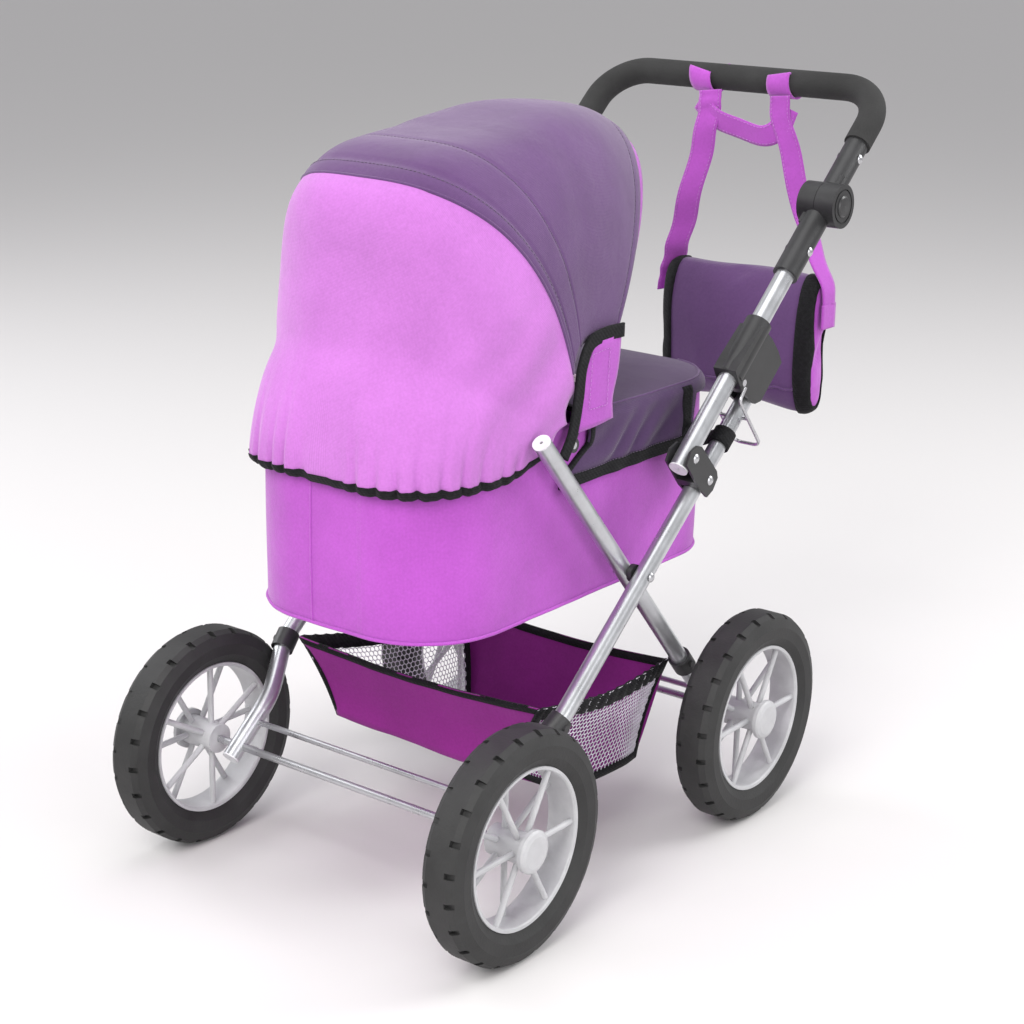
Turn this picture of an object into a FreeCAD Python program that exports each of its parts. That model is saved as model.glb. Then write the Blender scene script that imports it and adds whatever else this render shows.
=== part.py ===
"""Doll stroller: a folding tube chassis with a soft carrycot, hood, basket and bag.

Frame: +X to the right, +Y towards the handle, +Z up, origin on the floor under the
middle of the stroller.  All lengths are millimetres, all angles degrees.
"""
import FreeCAD, Part
import math
import os

import Sketcher
from FreeCAD import Placement, Rotation, Vector

doc = FreeCAD.newDocument("doll_stroller")

# ---------------------------------------------------------------- driving dimensions
DIMENSIONS = [
    # chassis side view
    ("front_axle_y", -260, "front axle, along Y"),
    ("wheelbase", 361, "front axle to rear axle"),
    ("wheel_radius", 100, "tyre outer radius, which is also the axle height"),
    ("wheel_plane_x", 177.5, "middle of a wheel from the centre plane"),
    ("front_tube_angle", 40, "rise of the long lower tube towards the handle"),
    ("pivot_travel", 269.6, "front axle to scissor pivot along the lower tube"),
    ("front_tube_top", 489, "front axle to the lower tube's top end"),
    ("rear_tube_top", 188, "scissor pivot to the rear leg's top end"),
    ("tube_overrun", 13, "tube beyond an axle centre"),
    # chassis front view
    ("outer_plane_x", 157, "plane of the lower, upper and handle tubes"),
    ("axle_plane_x", 134, "plane of the lower tube where it meets the axle"),
    ("leg_plane_x", 136, "plane of the rear legs"),
    ("bend_start", 55, "front axle to the lower corner of the tube's side step"),
    ("bend_end", 110, "front axle to the upper corner of the tube's side step"),
    ("bend_radius", 80, "centre line radius of the side step's bends"),
    # sections
    ("tube_radius", 8, "chassis tube outer radius"),
    ("tube_wall", 1.2, "tube wall thickness"),
    ("upper_tube_radius", 8.8, "upper tube outer radius"),
    ("axle_radius", 3.5, "axle rod"),
    ("cross_rod_radius", 2.7, "stiffening rod between the legs"),
    ("rivet_radius", 2.4, "rivet shank"),
    ("rivet_head_radius", 4.4, "rivet head"),
    ("rivet_head_height", 2.0, "rivet head"),
    ("shaft_gap", 0.05, "radial running clearance of a shaft in its hole"),
    ("part_gap", 0.4, "clearance between pieces that move past each other"),
    # link between lower and upper tube
    ("link_travel", 378.5, "front axle to the link's lower rivet"),
    ("link_upper_y", 5, "link's upper rivet, along Y"),
    ("link_upper_z", 368.4, "link's upper rivet height"),
    ("link_cheek", 2.4, "link plate thickness"),
    # upper tube, lock and handle, measured from the link's upper rivet
    ("upper_angle", 41.8, "rise of the upper tube and handle"),
    ("upper_tube_tail", 13, "upper tube below its rivet"),
    ("housing_start", 90, "upper rivet to the lock housing's lower end"),
    ("housing_end", 152, "upper rivet to the lock housing's upper end"),
    ("housing_wall", 3.2, "lock housing shell"),
    ("socket_start", 209, "upper rivet to the handle socket's lower end"),
    ("hinge_travel", 295.6, "upper rivet to the handle hinge"),
    ("socket_radius", 12, "handle hinge sockets"),
    ("hinge_radius", 20.5, "handle hinge disc"),
    ("button_radius", 10, "handle hinge push button"),
    ("arm_length", 145, "handle hinge to the axis of the cross bar"),
    ("grip_start", 75, "handle hinge to the foam's end"),
    ("bar_radius", 7.5, "steel bar inside the foam"),
    ("grip_radius", 13, "foam grip"),
    ("grip_bend", 44, "centre line radius of the grip's corners"),
    # wire catch on the lower tube
    ("catch_travel", 39, "catch pivot below the lower tube's top end"),
    ("catch_wire", 1.6, "wire radius"),
    ("catch_half_width", 14.2, "wire leg from the tube plane"),
    # wheels
    ("tyre_half_width", 19.5, "tyre"),
    ("tyre_inner_radius", 70, "tyre seat"),
    ("rim_lip_radius", 73, "rim edge"),
    ("rim_half_width", 13, "rim edge to edge"),
    ("rim_wall", 4, "rim shell"),
    ("hub_radius", 13.5, "hub barrel"),
    ("hub_outer_x", 17.5, "hub barrel's outboard end from the wheel plane"),
    ("hub_inner_x", 19.7, "hub barrel's inboard end from the wheel plane"),
    ("hub_cap_radius", 18.5, "round hub cap"),
    ("hub_cap_height", 6.5, "round hub cap"),
    ("spoke_radius", 2.7, "round spoke"),
    # carrycot
    ("cot_half_width", 115, "carrycot"),
    ("cot_front_y", -286, "carrycot's foot wall under the hood"),
    ("cot_rear_y", 141, "carrycot's end towards the handle"),
    ("cot_bottom_z", 252, "carrycot's underside"),
    ("cot_height", 160, "carrycot"),
    ("cot_corner", 78, "carrycot's plan corner radius"),
    ("cot_wall", 5, "padded fabric wall"),
    ("board_thickness", 3, "stiff board in the carrycot"),
    ("mattress_thickness", 24, "mattress"),
    ("apron_front_y", -88, "apron's edge behind the hoop's legs"),
    ("apron_skirt_z", 377, "lower edge of the apron's side skirts, above the straps"),
    ("apron_skirt_end", 78, "rear end of the apron's side skirts"),
    ("apron_thickness", 3, "apron fabric with padding"),
    ("apron_crown", 12, "rise of the apron's middle"),
    # hood
    ("hood_pivot_y", -110, "hood hoop pivot, along Y"),
    ("hood_pivot_z", 395, "hood hoop pivot height"),
    ("hood_half_width", 122.6, "hood at its hem"),
    ("hood_wall", 2.2, "hood fabric"),
    ("hoop_radius", 2.1, "hood hoop"),
    ("hoop_half_width", 117.7, "middle of the hoop's legs"),
    # basket
    ("basket_wall", 2, "basket fabric"),
    # bag
    ("bag_left_x", -80, "bag"),
    ("bag_right_x", 108, "bag"),
    ("bag_bottom_z", 330, "bag"),
    ("bag_height", 150, "bag"),
    ("bag_depth", 54, "bag"),
    ("strap_width", 24, "shoulder strap"),
    ("strap_thickness", 1.6, "shoulder strap"),
]

sheet = doc.addObject("Spreadsheet::Sheet", "Sizes")
for row, (alias, value, meaning) in enumerate(DIMENSIONS, start=1):
    sheet.set("A%d" % row, meaning)
    sheet.set("B%d" % row, str(value))
    sheet.setAlias("B%d" % row, alias)
doc.recompute()


class Size:
    """A length that carries both its number and the spreadsheet expression behind it."""

    def __init__(self, value, text):
        self.value = value
        self.text = text

    def _combine(self, other, sign, result):
        other = other if isinstance(other, Size) else Size(other, repr(other))
        return Size(result(self.value, other.value), "(%s %s %s)" % (self.text, sign, other.text))

    def __add__(self, other):
        return self._combine(other, "+", lambda a, b: a + b)

    def __sub__(self, other):
        return self._combine(other, "-", lambda a, b: a - b)

    def __mul__(self, other):
        return self._combine(other, "*", lambda a, b: a * b)

    def __neg__(self):
        return Size(-self.value, "(0 - %s)" % self.text)


class Sizes:
    """Sizes by alias, such as size.tube_radius."""

    def __getattr__(self, alias):
        return Size(float(sheet.get(alias)), "Sizes." + alias)


size = Sizes()


def number(alias):
    """The plain number in a cell, for shapes and placements made in code."""
    return float(sheet.get(alias))


def bind(feature, prop, length):
    """Tie a property to the sheet when the length comes from it, else set the number."""
    if isinstance(length, Size):
        feature.setExpression(prop, length.text)
    else:
        setattr(feature, prop, length)


# ---------------------------------------------------------------- key points
SIDES = (("left", -1), ("right", 1))
UPRIGHT = Rotation()
ALONG_X = Rotation(Vector(0, 0, 1), Vector(1, 0, 0))


def travel(start, angle, distance):
    """The point that lies a distance from start, up a slope in the YZ plane."""
    slope = math.radians(angle)
    return start + Vector(0, math.cos(slope), math.sin(slope)) * distance


FRONT_AXLE = Vector(0, number("front_axle_y"), number("wheel_radius"))
REAR_AXLE = FRONT_AXLE + Vector(0, number("wheelbase"), 0)
PIVOT = travel(FRONT_AXLE, number("front_tube_angle"), number("pivot_travel"))
LEG = REAR_AXLE - PIVOT
LEG_ANGLE = 180 - math.degrees(math.atan2(-LEG.z, LEG.y))
LINK_LOWER = travel(FRONT_AXLE, number("front_tube_angle"), number("link_travel"))
LINK_UPPER = Vector(0, number("link_upper_y"), number("link_upper_z"))
HINGE = travel(LINK_UPPER, number("upper_angle"), number("hinge_travel"))
BAR = travel(HINGE, number("upper_angle"), number("arm_length"))
CATCH = travel(FRONT_AXLE, number("front_tube_angle"), number("front_tube_top") - number("catch_travel"))
HOOD_PIVOT = Vector(0, number("hood_pivot_y"), number("hood_pivot_z"))
# Travel of the hinge socket's rivet along the upper tube and of the arm's along the arm,
# and the radius of the moulded studs on the housings.
SOCKET_RIVET = 239
ARM_RIVET = 58
HOUSING_STUD = 3.2


def at_x(point, x):
    return Vector(x, point.y, point.z)


def slope_rotation(angle):
    """Turn a piece drawn along +Z so that it points up a slope in the YZ plane."""
    return Rotation(Vector(1, 0, 0), angle - 90)


def side_view(angle):
    """Turn a sketch so its X runs up a slope, its Y square to that, its normal along +X."""
    up = travel(Vector(), angle, 1)
    return Rotation(up, Vector(0, -up.z, up.y), Vector(1, 0, 0), "XYZ")


def facing(side):
    """Turn a body of revolution so its own Z points outboard on the given side."""
    return Rotation(Vector(0, 0, 1), Vector(side, 0, 0))


def on_upper(along, across=0, x=0):
    """A point measured up the upper tube and square to it, from the link's upper rivet."""
    return at_x(travel(travel(LINK_UPPER, number("upper_angle"), along),
                       number("upper_angle") + 90, across), x)


# ---------------------------------------------------------------- small builders
NODES = []


def node(feature, label, placement=None):
    """Name a finished sub-part and note it for export."""
    if placement is not None:
        feature.Placement = placement
    feature.Label = label
    NODES.append(feature)
    return feature


def shape_node(label, shape):
    """A sub-part whose shape is made in code."""
    feature = doc.addObject("Part::Feature", label)
    feature.Shape = shape
    feature.Placement = Placement()
    return node(feature, label)


def cylinder(name, radius, height, base, rotation=ALONG_X):
    feature = doc.addObject("Part::Cylinder", name)
    bind(feature, "Radius", radius)
    bind(feature, "Height", height)
    feature.Placement = Placement(base, rotation)
    return feature


def cut(name, base, tool):
    feature = doc.addObject("Part::Cut", name)
    feature.Base = base
    feature.Tool = tool
    return feature


def fuse(name, shapes):
    feature = doc.addObject("Part::MultiFuse", name)
    feature.Shapes = shapes
    return feature


def origin_plane(body, role):
    return next(item for item in body.Origin.OriginFeatures if item.Role == role)


def new_body(name):
    return doc.addObject("PartDesign::Body", name)


def new_sketch(body, role="XY_Plane", offset=0):
    sketch = body.newObject("Sketcher::SketchObject", body.Name + "_sketch")
    sketch.AttachmentSupport = [(origin_plane(body, role), "")]
    sketch.MapMode = "FlatFace"
    if offset:
        sketch.AttachmentOffset = Placement(Vector(0, 0, offset), Rotation())
    return sketch


def pin_vertex(sketch, edge, end, axis, length):
    """Fix one coordinate of a vertex by a dimension from the sketch's origin."""
    driven = isinstance(length, Size)
    length = length if driven else Size(length, repr(length))
    if abs(length.value) < 1e-9:
        on_axis = -2 if axis == "X" else -1
        sketch.addConstraint(Sketcher.Constraint("PointOnObject", edge, end, on_axis))
        return
    if length.value < 0:
        length = -length
        rule = Sketcher.Constraint("Distance" + axis, edge, end, -1, 1, length.value)
    else:
        rule = Sketcher.Constraint("Distance" + axis, -1, 1, edge, end, length.value)
    index = sketch.addConstraint(rule)
    if driven:
        sketch.setExpression("Constraints[%d]" % index, length.text)


def polygon(sketch, corners):
    """A closed outline of straight edges through corners given as pairs of sizes."""
    flat = [Vector(*[getattr(c, "value", c) for c in corner], 0) for corner in corners]
    first = sketch.GeometryCount
    for start, end in zip(flat, flat[1:] + flat[:1]):
        sketch.addGeometry(Part.LineSegment(start, end), False)
    for step, corner in enumerate(corners):
        edge = first + step
        before = first + (step - 1) % len(corners)
        sketch.addConstraint(Sketcher.Constraint("Coincident", before, 2, edge, 1))
        pin_vertex(sketch, edge, 1, "X", corner[0])
        pin_vertex(sketch, edge, 1, "Y", corner[1])


def circle(sketch, radius, centre=(0, 0)):
    """A full circle about a centre given as a pair of sizes."""
    flat = Vector(*[getattr(c, "value", c) for c in centre], 0)
    value = radius.value if isinstance(radius, Size) else radius
    index = sketch.addGeometry(Part.Circle(flat, Vector(0, 0, 1), value), False)
    rule = sketch.addConstraint(Sketcher.Constraint("Radius", index, value))
    if isinstance(radius, Size):
        sketch.setExpression("Constraints[%d]" % rule, radius.text)
    pin_vertex(sketch, index, 3, "X", centre[0])
    pin_vertex(sketch, index, 3, "Y", centre[1])


def pad(body, sketch, length, both_ways=False, backwards=False):
    feature = body.newObject("PartDesign::Pad", sketch.Name + "_pad")
    feature.Profile = sketch
    feature.Midplane = both_ways
    feature.Reversed = backwards
    bind(feature, "Length", length)
    doc.recompute()
    return feature


def pocket(body, sketch, length, both_ways=False, backwards=False):
    before = body.Shape.Volume
    feature = body.newObject("PartDesign::Pocket", sketch.Name + "_pocket")
    feature.Profile = sketch
    feature.Midplane = both_ways
    feature.Reversed = backwards
    bind(feature, "Length", length)
    doc.recompute()
    if feature.Shape.Volume > before - 1:
        raise RuntimeError("%s cuts nothing" % feature.Name)
    return feature


def revolution(body, sketch, axis="V_Axis"):
    feature = body.newObject("PartDesign::Revolution", sketch.Name + "_revolution")
    feature.Profile = sketch
    feature.ReferenceAxis = (sketch, [axis])
    feature.Angle = 360
    doc.recompute()
    return feature


def turned(name, outline):
    """A body of revolution about its own Z axis, from (radius, height) corners."""
    body = new_body(name)
    sketch = new_sketch(body, "XZ_Plane")
    polygon(sketch, outline)
    revolution(body, sketch)
    return body


def rounded_path(points, radii):
    """Straight runs joined by tangent arcs, one radius for each inner point."""
    edges = []
    start = points[0]
    for before, corner, after, radius in zip(points, points[1:], points[2:], radii):
        into = (corner - before).normalize()
        out = (after - corner).normalize()
        half_turn = into.getAngle(out) / 2
        setback = radius * math.tan(half_turn)
        entry = corner - into * setback
        leave = corner + out * setback
        inward = (out - into).normalize()
        middle = corner + inward * (radius / math.cos(half_turn) - radius)
        edges.append(Part.LineSegment(start, entry).toShape())
        edges.append(Part.Arc(entry, middle, leave).toShape())
        start = leave
    edges.append(Part.LineSegment(start, points[-1]).toShape())
    return Part.Wire(edges)


def swept_rod(path, radius):
    """A solid round rod along a path."""
    first = path.Edges[0]
    start = first.valueAt(first.FirstParameter)
    direction = first.tangentAt(first.FirstParameter)
    section = Part.Wire([Part.makeCircle(radius, start, direction)])
    return path.makePipeShell([section], True, True)


def swept_tube(path, radius, wall):
    return swept_rod(path, radius).cut(swept_rod(path, radius - wall))


def rod_between(start, end, radius):
    return Part.makeCylinder(radius, start.distanceToPoint(end), start, end - start)


def rivet(centre, half_length, radius=None):
    """A rivet along X with a shallow domed head on each end."""
    radius = radius or number("rivet_radius")
    head = number("rivet_head_radius")
    rise = number("rivet_head_height")
    shank = Part.makeCylinder(radius, 2 * half_length, centre - Vector(half_length, 0, 0), Vector(1, 0, 0))
    solids = [shank]
    for side in (-1, 1):
        ball_radius = (head * head + rise * rise) / (2 * rise)
        ball_centre = centre + Vector(side * (half_length + rise - ball_radius), 0, 0)
        keep = Part.makeCylinder(head, rise, centre + Vector(side * half_length, 0, 0), Vector(side, 0, 0))
        solids.append(Part.makeSphere(ball_radius, ball_centre).common(keep))
    return solids[0].fuse(solids[1:]).removeSplitter()


def drilled(solid, centre, radius, half_length=40):
    """The solid with a hole through it along X."""
    hole = Part.makeCylinder(radius, 2 * half_length, centre - Vector(half_length, 0, 0), Vector(1, 0, 0))
    return solid.cut(hole)


# ---------------------------------------------------------------- chassis tubes
def front_tube_path(side):
    """The long lower tube's axis, stepped inboard where it meets the front axle."""
    angle = number("front_tube_angle")
    outer = side * number("outer_plane_x")
    inner = side * number("axle_plane_x")
    places = [
        at_x(travel(FRONT_AXLE, angle, -number("tube_overrun")), inner),
        at_x(travel(FRONT_AXLE, angle, number("bend_start")), inner),
        at_x(travel(FRONT_AXLE, angle, number("bend_end")), outer),
        at_x(travel(FRONT_AXLE, angle, number("front_tube_top")), outer),
    ]
    return rounded_path(places, [number("bend_radius")] * 2)


def rear_tube_path(side):
    """A rear leg's axis, from below the axle to its free top end."""
    x = side * number("leg_plane_x")
    foot = at_x(travel(REAR_AXLE, LEG_ANGLE, -number("tube_overrun")), x)
    top = at_x(travel(PIVOT, LEG_ANGLE, number("rear_tube_top")), x)
    return Part.Wire([Part.LineSegment(foot, top).toShape()])


def front_tube(label, side):
    """A long lower tube, drilled for its axle, pivot, link and catch."""
    outer = side * number("outer_plane_x")
    inner = side * number("axle_plane_x")
    tube = swept_tube(front_tube_path(side), number("tube_radius"), number("tube_wall"))
    tube = drilled(tube, at_x(FRONT_AXLE, inner), number("axle_radius"))
    tube = drilled(tube, at_x(PIVOT, outer), number("rivet_radius"))
    tube = drilled(tube, at_x(LINK_LOWER, outer), number("rivet_radius"))
    tube = drilled(tube, at_x(CATCH, outer), number("catch_wire") + number("shaft_gap"))
    shape_node(label, tube)


def rear_tube(label, side):
    """A straight rear leg, drilled for its axle and the scissor pivot."""
    x = side * number("leg_plane_x")
    tube = swept_tube(rear_tube_path(side), number("tube_radius"), number("tube_wall"))
    tube = drilled(tube, at_x(REAR_AXLE, x), number("axle_radius"))
    tube = drilled(tube, at_x(PIVOT, x), number("rivet_radius") + number("shaft_gap"))
    shape_node(label, tube)


def end_plug(end, outward, radius, wall):
    """A plastic plug that closes a tube's end, with a small centre hole."""
    flange = rod_between(end, end + outward * 1.2, radius)
    spigot = rod_between(end - outward * 8, end, radius - wall)
    hole = rod_between(end - outward * 9, end + outward * 2, 1.4)
    return flange.fuse(spigot).removeSplitter().cut(hole)


def tube_plugs():
    """Plugs for both ends of the lower tubes, the rear legs and the upper tubes."""
    radius = number("tube_radius")
    wall = number("tube_wall")
    along = travel(Vector(), number("front_tube_angle"), 1)
    up_leg = travel(Vector(), LEG_ANGLE, 1)
    up_upper = travel(Vector(), number("upper_angle"), 1)
    lower = []
    legs = []
    upper = []
    for _, side in SIDES:
        foot = at_x(FRONT_AXLE - along * number("tube_overrun"), side * number("axle_plane_x"))
        head = at_x(FRONT_AXLE + along * number("front_tube_top"), side * number("outer_plane_x"))
        lower += [end_plug(foot, -along, radius, wall), end_plug(head, along, radius, wall)]
        x = side * number("leg_plane_x")
        foot = at_x(REAR_AXLE - up_leg * number("tube_overrun"), x)
        head = at_x(PIVOT + up_leg * number("rear_tube_top"), x)
        legs += [end_plug(foot, -up_leg, radius, wall), end_plug(head, up_leg, radius, wall)]
        foot = at_x(LINK_UPPER - up_upper * number("upper_tube_tail"), side * number("outer_plane_x"))
        upper.append(end_plug(foot, -up_upper, number("upper_tube_radius"), wall))
    shape_node("front_tube_plugs", Part.Compound(lower))
    shape_node("rear_leg_plugs", Part.Compound(legs))
    shape_node("upper_tube_plugs", Part.Compound(upper))


def wheel_axle(label, axle):
    """A rod across the stroller that carries one pair of wheels."""
    reach = size.wheel_plane_x + size.hub_outer_x + 1
    rod = cylinder(label + "_rod", size.axle_radius, reach * 2, at_x(axle, -reach.value))
    node(rod, label)


def cross_rod(label, place, tube_x, angle):
    """A thinner rod between two tubes, its ends shaped to the tubes it is welded to."""
    rod = cylinder(label + "_bar", size.cross_rod_radius, 2 * tube_x - 8, at_x(place, 4 - tube_x))
    saddles = []
    for side_name, side in SIDES:
        start = at_x(travel(place, angle, -20), side * tube_x)
        saddles.append(cylinder(label + "_saddle_" + side_name, size.tube_radius, 40, start,
                                slope_rotation(angle)))
    node(cut(label + "_trimmed", rod, fuse(label + "_saddles", saddles)), label)


def pivot_hardware():
    """Scissor rivets with black spacers, and the link rivets."""
    outer = number("outer_plane_x")
    leg = number("leg_plane_x")
    radius = number("tube_radius")
    middle = (outer + leg) / 2
    half = (outer - leg) / 2 + radius + 0.5
    rivets = [rivet(at_x(PIVOT, side * middle), half) for _, side in SIDES]
    shape_node("pivot_rivets", Part.Compound(rivets))
    gap = outer - leg - 2 * radius
    spacers = []
    for _, side in SIDES:
        start = at_x(PIVOT, side * (leg + radius + number("part_gap")))
        ring = Part.makeCylinder(radius, gap - number("part_gap"), start, Vector(side, 0, 0))
        ring = ring.cut(Part.makeCylinder(number("rivet_radius"), gap, start, Vector(side, 0, 0)))
        spacers.append(ring)
    shape_node("pivot_spacers", Part.Compound(spacers))
    half = number("upper_tube_radius") + number("part_gap") + number("link_cheek") + 0.2
    rivets = []
    for _, side in SIDES:
        for place in (LINK_LOWER, LINK_UPPER):
            rivets.append(rivet(at_x(place, side * outer), half))
    shape_node("link_rivets", Part.Compound(rivets))


# ---------------------------------------------------------------- link and lock
LINK_OUTLINE = [(9, 7), (12.6, 1), (14, -38), (11, -44), (-1, -46.6), (-11, -43.6),
                (-13.4, -28), (-12.8, 7.4), (-1.7, 11.6)]
HOUSING_OUTLINE = [(143, 9), (147.5, -15), (147.6, -33), (145, -46), (100, -46), (92, -40),
                   (86, -18), (84.5, -9), (89, 12), (100, 12)]


def link_bracket(label, side):
    """A U-shaped bracket: two cheeks around both tubes, joined by a web between them."""
    down = LINK_LOWER - LINK_UPPER
    slope = travel(Vector(), number("upper_angle"), 1)
    lower_along = down.dot(slope)
    lower_across = -math.sqrt(down.Length ** 2 - lower_along ** 2)
    inside = size.upper_tube_radius * 2 + size.part_gap * 2
    body = new_body(label + "_body")
    plate = new_sketch(body)
    polygon(plate, LINK_OUTLINE)
    pad(body, plate, inside + size.link_cheek * 2, both_ways=True)
    upper_room = new_sketch(body)
    polygon(upper_room, [(-20, -19), (20, -19), (20, 20), (-20, 20)])
    pocket(body, upper_room, inside, both_ways=True)
    lower_room = new_sketch(body)
    web_bottom = lower_across + number("tube_radius") + 0.4
    polygon(lower_room, [(-20, -60), (20, -60), (20, web_bottom), (-20, web_bottom)])
    pocket(body, lower_room, inside, both_ways=True)
    holes = new_sketch(body)
    circle(holes, size.rivet_radius)
    circle(holes, size.rivet_radius, (lower_along, lower_across))
    pocket(body, holes, 60, both_ways=True)
    place = Placement(at_x(LINK_UPPER, side * number("outer_plane_x")), side_view(number("upper_angle")))
    node(body, label, place)


def upper_tube(label, side):
    """The upper tube, from below its rivet to just inside the handle hinge."""
    x = side * number("outer_plane_x")
    radius = number("upper_tube_radius")
    start = on_upper(-number("upper_tube_tail"), 0, x)
    end = on_upper(number("hinge_travel") - number("hinge_radius") - 2, 0, x)
    tube = rod_between(start, end, radius).cut(rod_between(start, end, radius - number("tube_wall")))
    tube = drilled(tube, at_x(LINK_UPPER, x), number("rivet_radius") + number("shaft_gap"))
    tube = drilled(tube, on_upper(SOCKET_RIVET, 0, x), number("rivet_radius"))
    shape_node(label, tube)


def lock_housing(label, side):
    """A sleeve on the upper tube with two cheeks that close over the lower tube's end."""
    body = new_body(label + "_body")
    cheeks = new_sketch(body)
    polygon(cheeks, HOUSING_OUTLINE)
    width = size.tube_radius * 2 + size.part_gap * 2 + size.housing_wall * 2
    pad(body, cheeks, width, both_ways=True)
    sleeve = new_sketch(body, "YZ_Plane", number("housing_start"))
    circle(sleeve, size.upper_tube_radius + size.housing_wall + 0.4)
    pad(body, sleeve, size.housing_end - size.housing_start)
    bore = new_sketch(body, "YZ_Plane", 60)
    circle(bore, size.upper_tube_radius)
    pocket(body, bore, 110, backwards=True)
    room = new_sketch(body)
    polygon(room, [(70, -60), (141, -60), (141, -16), (70, -16)])
    pocket(body, room, size.tube_radius * 2 + size.part_gap * 2, both_ways=True)
    rivet_holes = new_sketch(body)
    circle(rivet_holes, HOUSING_STUD, (92, -9))
    pocket(body, rivet_holes, 60, both_ways=True)
    place = Placement(on_upper(0, 0, side * number("outer_plane_x")), side_view(number("upper_angle")))
    node(body, label, place)


def lock_bail(label, side):
    """A wire loop on the lower tube: two bent legs outside the lock, a pin and a base."""
    x = side * number("outer_plane_x")
    half = number("catch_half_width")
    wire = number("catch_wire")
    slope = number("front_tube_angle")

    def place(along, across, where):
        return at_x(travel(travel(CATCH, slope, along), slope + 90, across), x + where)

    path = rounded_path([
        place(14, 28, -half), place(0, 25, -half), place(0, -39, -half),
        place(0, -39, half), place(0, 25, half), place(14, 28, half),
    ], [5, 8, 8, 5])
    loop = swept_rod(path, wire)
    pin = rod_between(place(0, 0, -half), place(0, 0, half), wire)
    shape_node(label, loop.fuse(pin).removeSplitter())


# ---------------------------------------------------------------- handle


def cross_cylinder(centre, radius, start_x, end_x):
    """A solid cylinder along X between two distances outboard of a centre."""
    side = 1 if centre.x > 0 else -1
    base = centre + Vector(side * start_x, 0, 0)
    return Part.makeCylinder(radius, end_x - start_x, base, Vector(side, 0, 0))


def hinge_half(label, side, direction, sleeve_radius, sleeve_end, bore_radius, disc_span, rivet_at):
    """A sleeve that runs away from the handle hinge, joined to one of its two discs."""
    x = side * number("outer_plane_x")
    centre = at_x(HINGE, x)
    slope = number("upper_angle")
    disc_radius = number("hinge_radius")
    gap = number("part_gap")
    start, end = disc_span
    sleeve = rod_between(centre, travel(centre, slope, direction * sleeve_end), sleeve_radius)
    sleeve = sleeve.cut(cross_cylinder(centre, disc_radius + gap, -30, 30))
    disc = cross_cylinder(centre, disc_radius, start, end)
    neck = Part.makeBox(26, 18, min(end - start, sleeve_radius - 1.5), Vector(4, -9, 0))
    flip = Rotation(Vector(0, 0, 1), 0 if direction > 0 else 180)
    towards_x = 1 if (start + end) * side > 0 else -1
    if towards_x < 0:
        neck = neck.mirror(Vector(), Vector(0, 0, 1))
    neck.Placement = Placement(centre, side_view(slope).multiply(flip)).multiply(neck.Placement)
    other_side = (-30, gap / 2) if start >= 0 else (-gap / 2, 30)
    neck = neck.cut(cross_cylinder(centre, disc_radius + gap, *other_side))
    whole = sleeve.fuse([disc, neck])
    far = travel(centre, slope, direction * (sleeve_end + 5))
    whole = whole.cut(rod_between(travel(centre, slope, direction * (disc_radius + 2)), far, bore_radius))
    whole = drilled(whole, travel(centre, slope, rivet_at), number("rivet_radius"))
    return whole.removeSplitter()


def hinge_socket(label, side):
    """The sleeve on the upper tube, with the hinge's inboard disc."""
    gap = number("part_gap")
    reach = number("hinge_travel") - number("socket_start")
    rivet_at = SOCKET_RIVET - number("hinge_travel")
    shape_node(label, hinge_half(label, side, -1, number("socket_radius"), reach,
                                 number("upper_tube_radius"), (-18, -gap / 2), rivet_at))


def hinge_arm(label, side):
    """The sleeve on the handle bar, with the hinge's outboard disc and a button well."""
    gap = number("part_gap")
    arm = hinge_half(label, side, 1, number("socket_radius") - 1, number("grip_start"),
                     number("bar_radius"), (gap / 2, 20), ARM_RIVET)
    centre = at_x(HINGE, side * number("outer_plane_x"))
    arm = arm.cut(cross_cylinder(centre, number("button_radius") + number("shaft_gap"), 8, 24))
    groove = cross_cylinder(centre, 16.2, 18.8, 24).cut(cross_cylinder(centre, 14.6, 18, 25))
    shape_node(label, arm.cut(groove))


def hinge_button(label, side):
    """A domed push button that slides in the hinge disc's well."""
    radius = size.button_radius
    body = turned(label + "_body", [
        (0, 12.5), (radius, 12.5), (radius, 20.6), (radius - 1.4, 21.8), (0, 22.2),
    ])
    node(body, label, Placement(at_x(HINGE, side * number("outer_plane_x")), facing(side)))


def handle_bar():
    """The steel bar of the handle, its foam grip and the rivets that hold it."""
    x = number("outer_plane_x")
    slope = number("upper_angle")

    def corner_path(start):
        low = travel(HINGE, slope, start)
        bend = number("grip_bend")
        corners = [at_x(low, -x), at_x(BAR, -x), at_x(BAR, x), at_x(low, x)]
        return rounded_path(corners, [bend, bend])

    bar = swept_rod(corner_path(number("hinge_radius") + 2), number("bar_radius"))
    for _, side in SIDES:
        bar = drilled(bar, at_x(travel(HINGE, slope, ARM_RIVET), side * x), number("rivet_radius"))
    shape_node("handle_tube", bar)
    grip_path = corner_path(number("grip_start"))
    grip = swept_rod(grip_path, number("grip_radius")).cut(swept_rod(grip_path, number("bar_radius")))
    shape_node("foam_grip", grip)
    place = travel(HINGE, slope, ARM_RIVET)
    rivets = [rivet(at_x(place, side * x), number("socket_radius") - 1) for _, side in SIDES]
    shape_node("handle_rivets", Part.Compound(rivets))
    studs = []
    for _, side in SIDES:
        studs.append(rivet(on_upper(SOCKET_RIVET, 0, side * x), number("socket_radius")))
        for face in (-1, 1):
            start = on_upper(92, -9, side * x + face * 9.4)
            studs.append(Part.makeCylinder(HOUSING_STUD, 2.6, start, Vector(face, 0, 0)))
    shape_node("upper_frame_rivets", Part.Compound(studs))


# ---------------------------------------------------------------- wheels
WHEELS = (("front", FRONT_AXLE), ("rear", REAR_AXLE))


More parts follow.
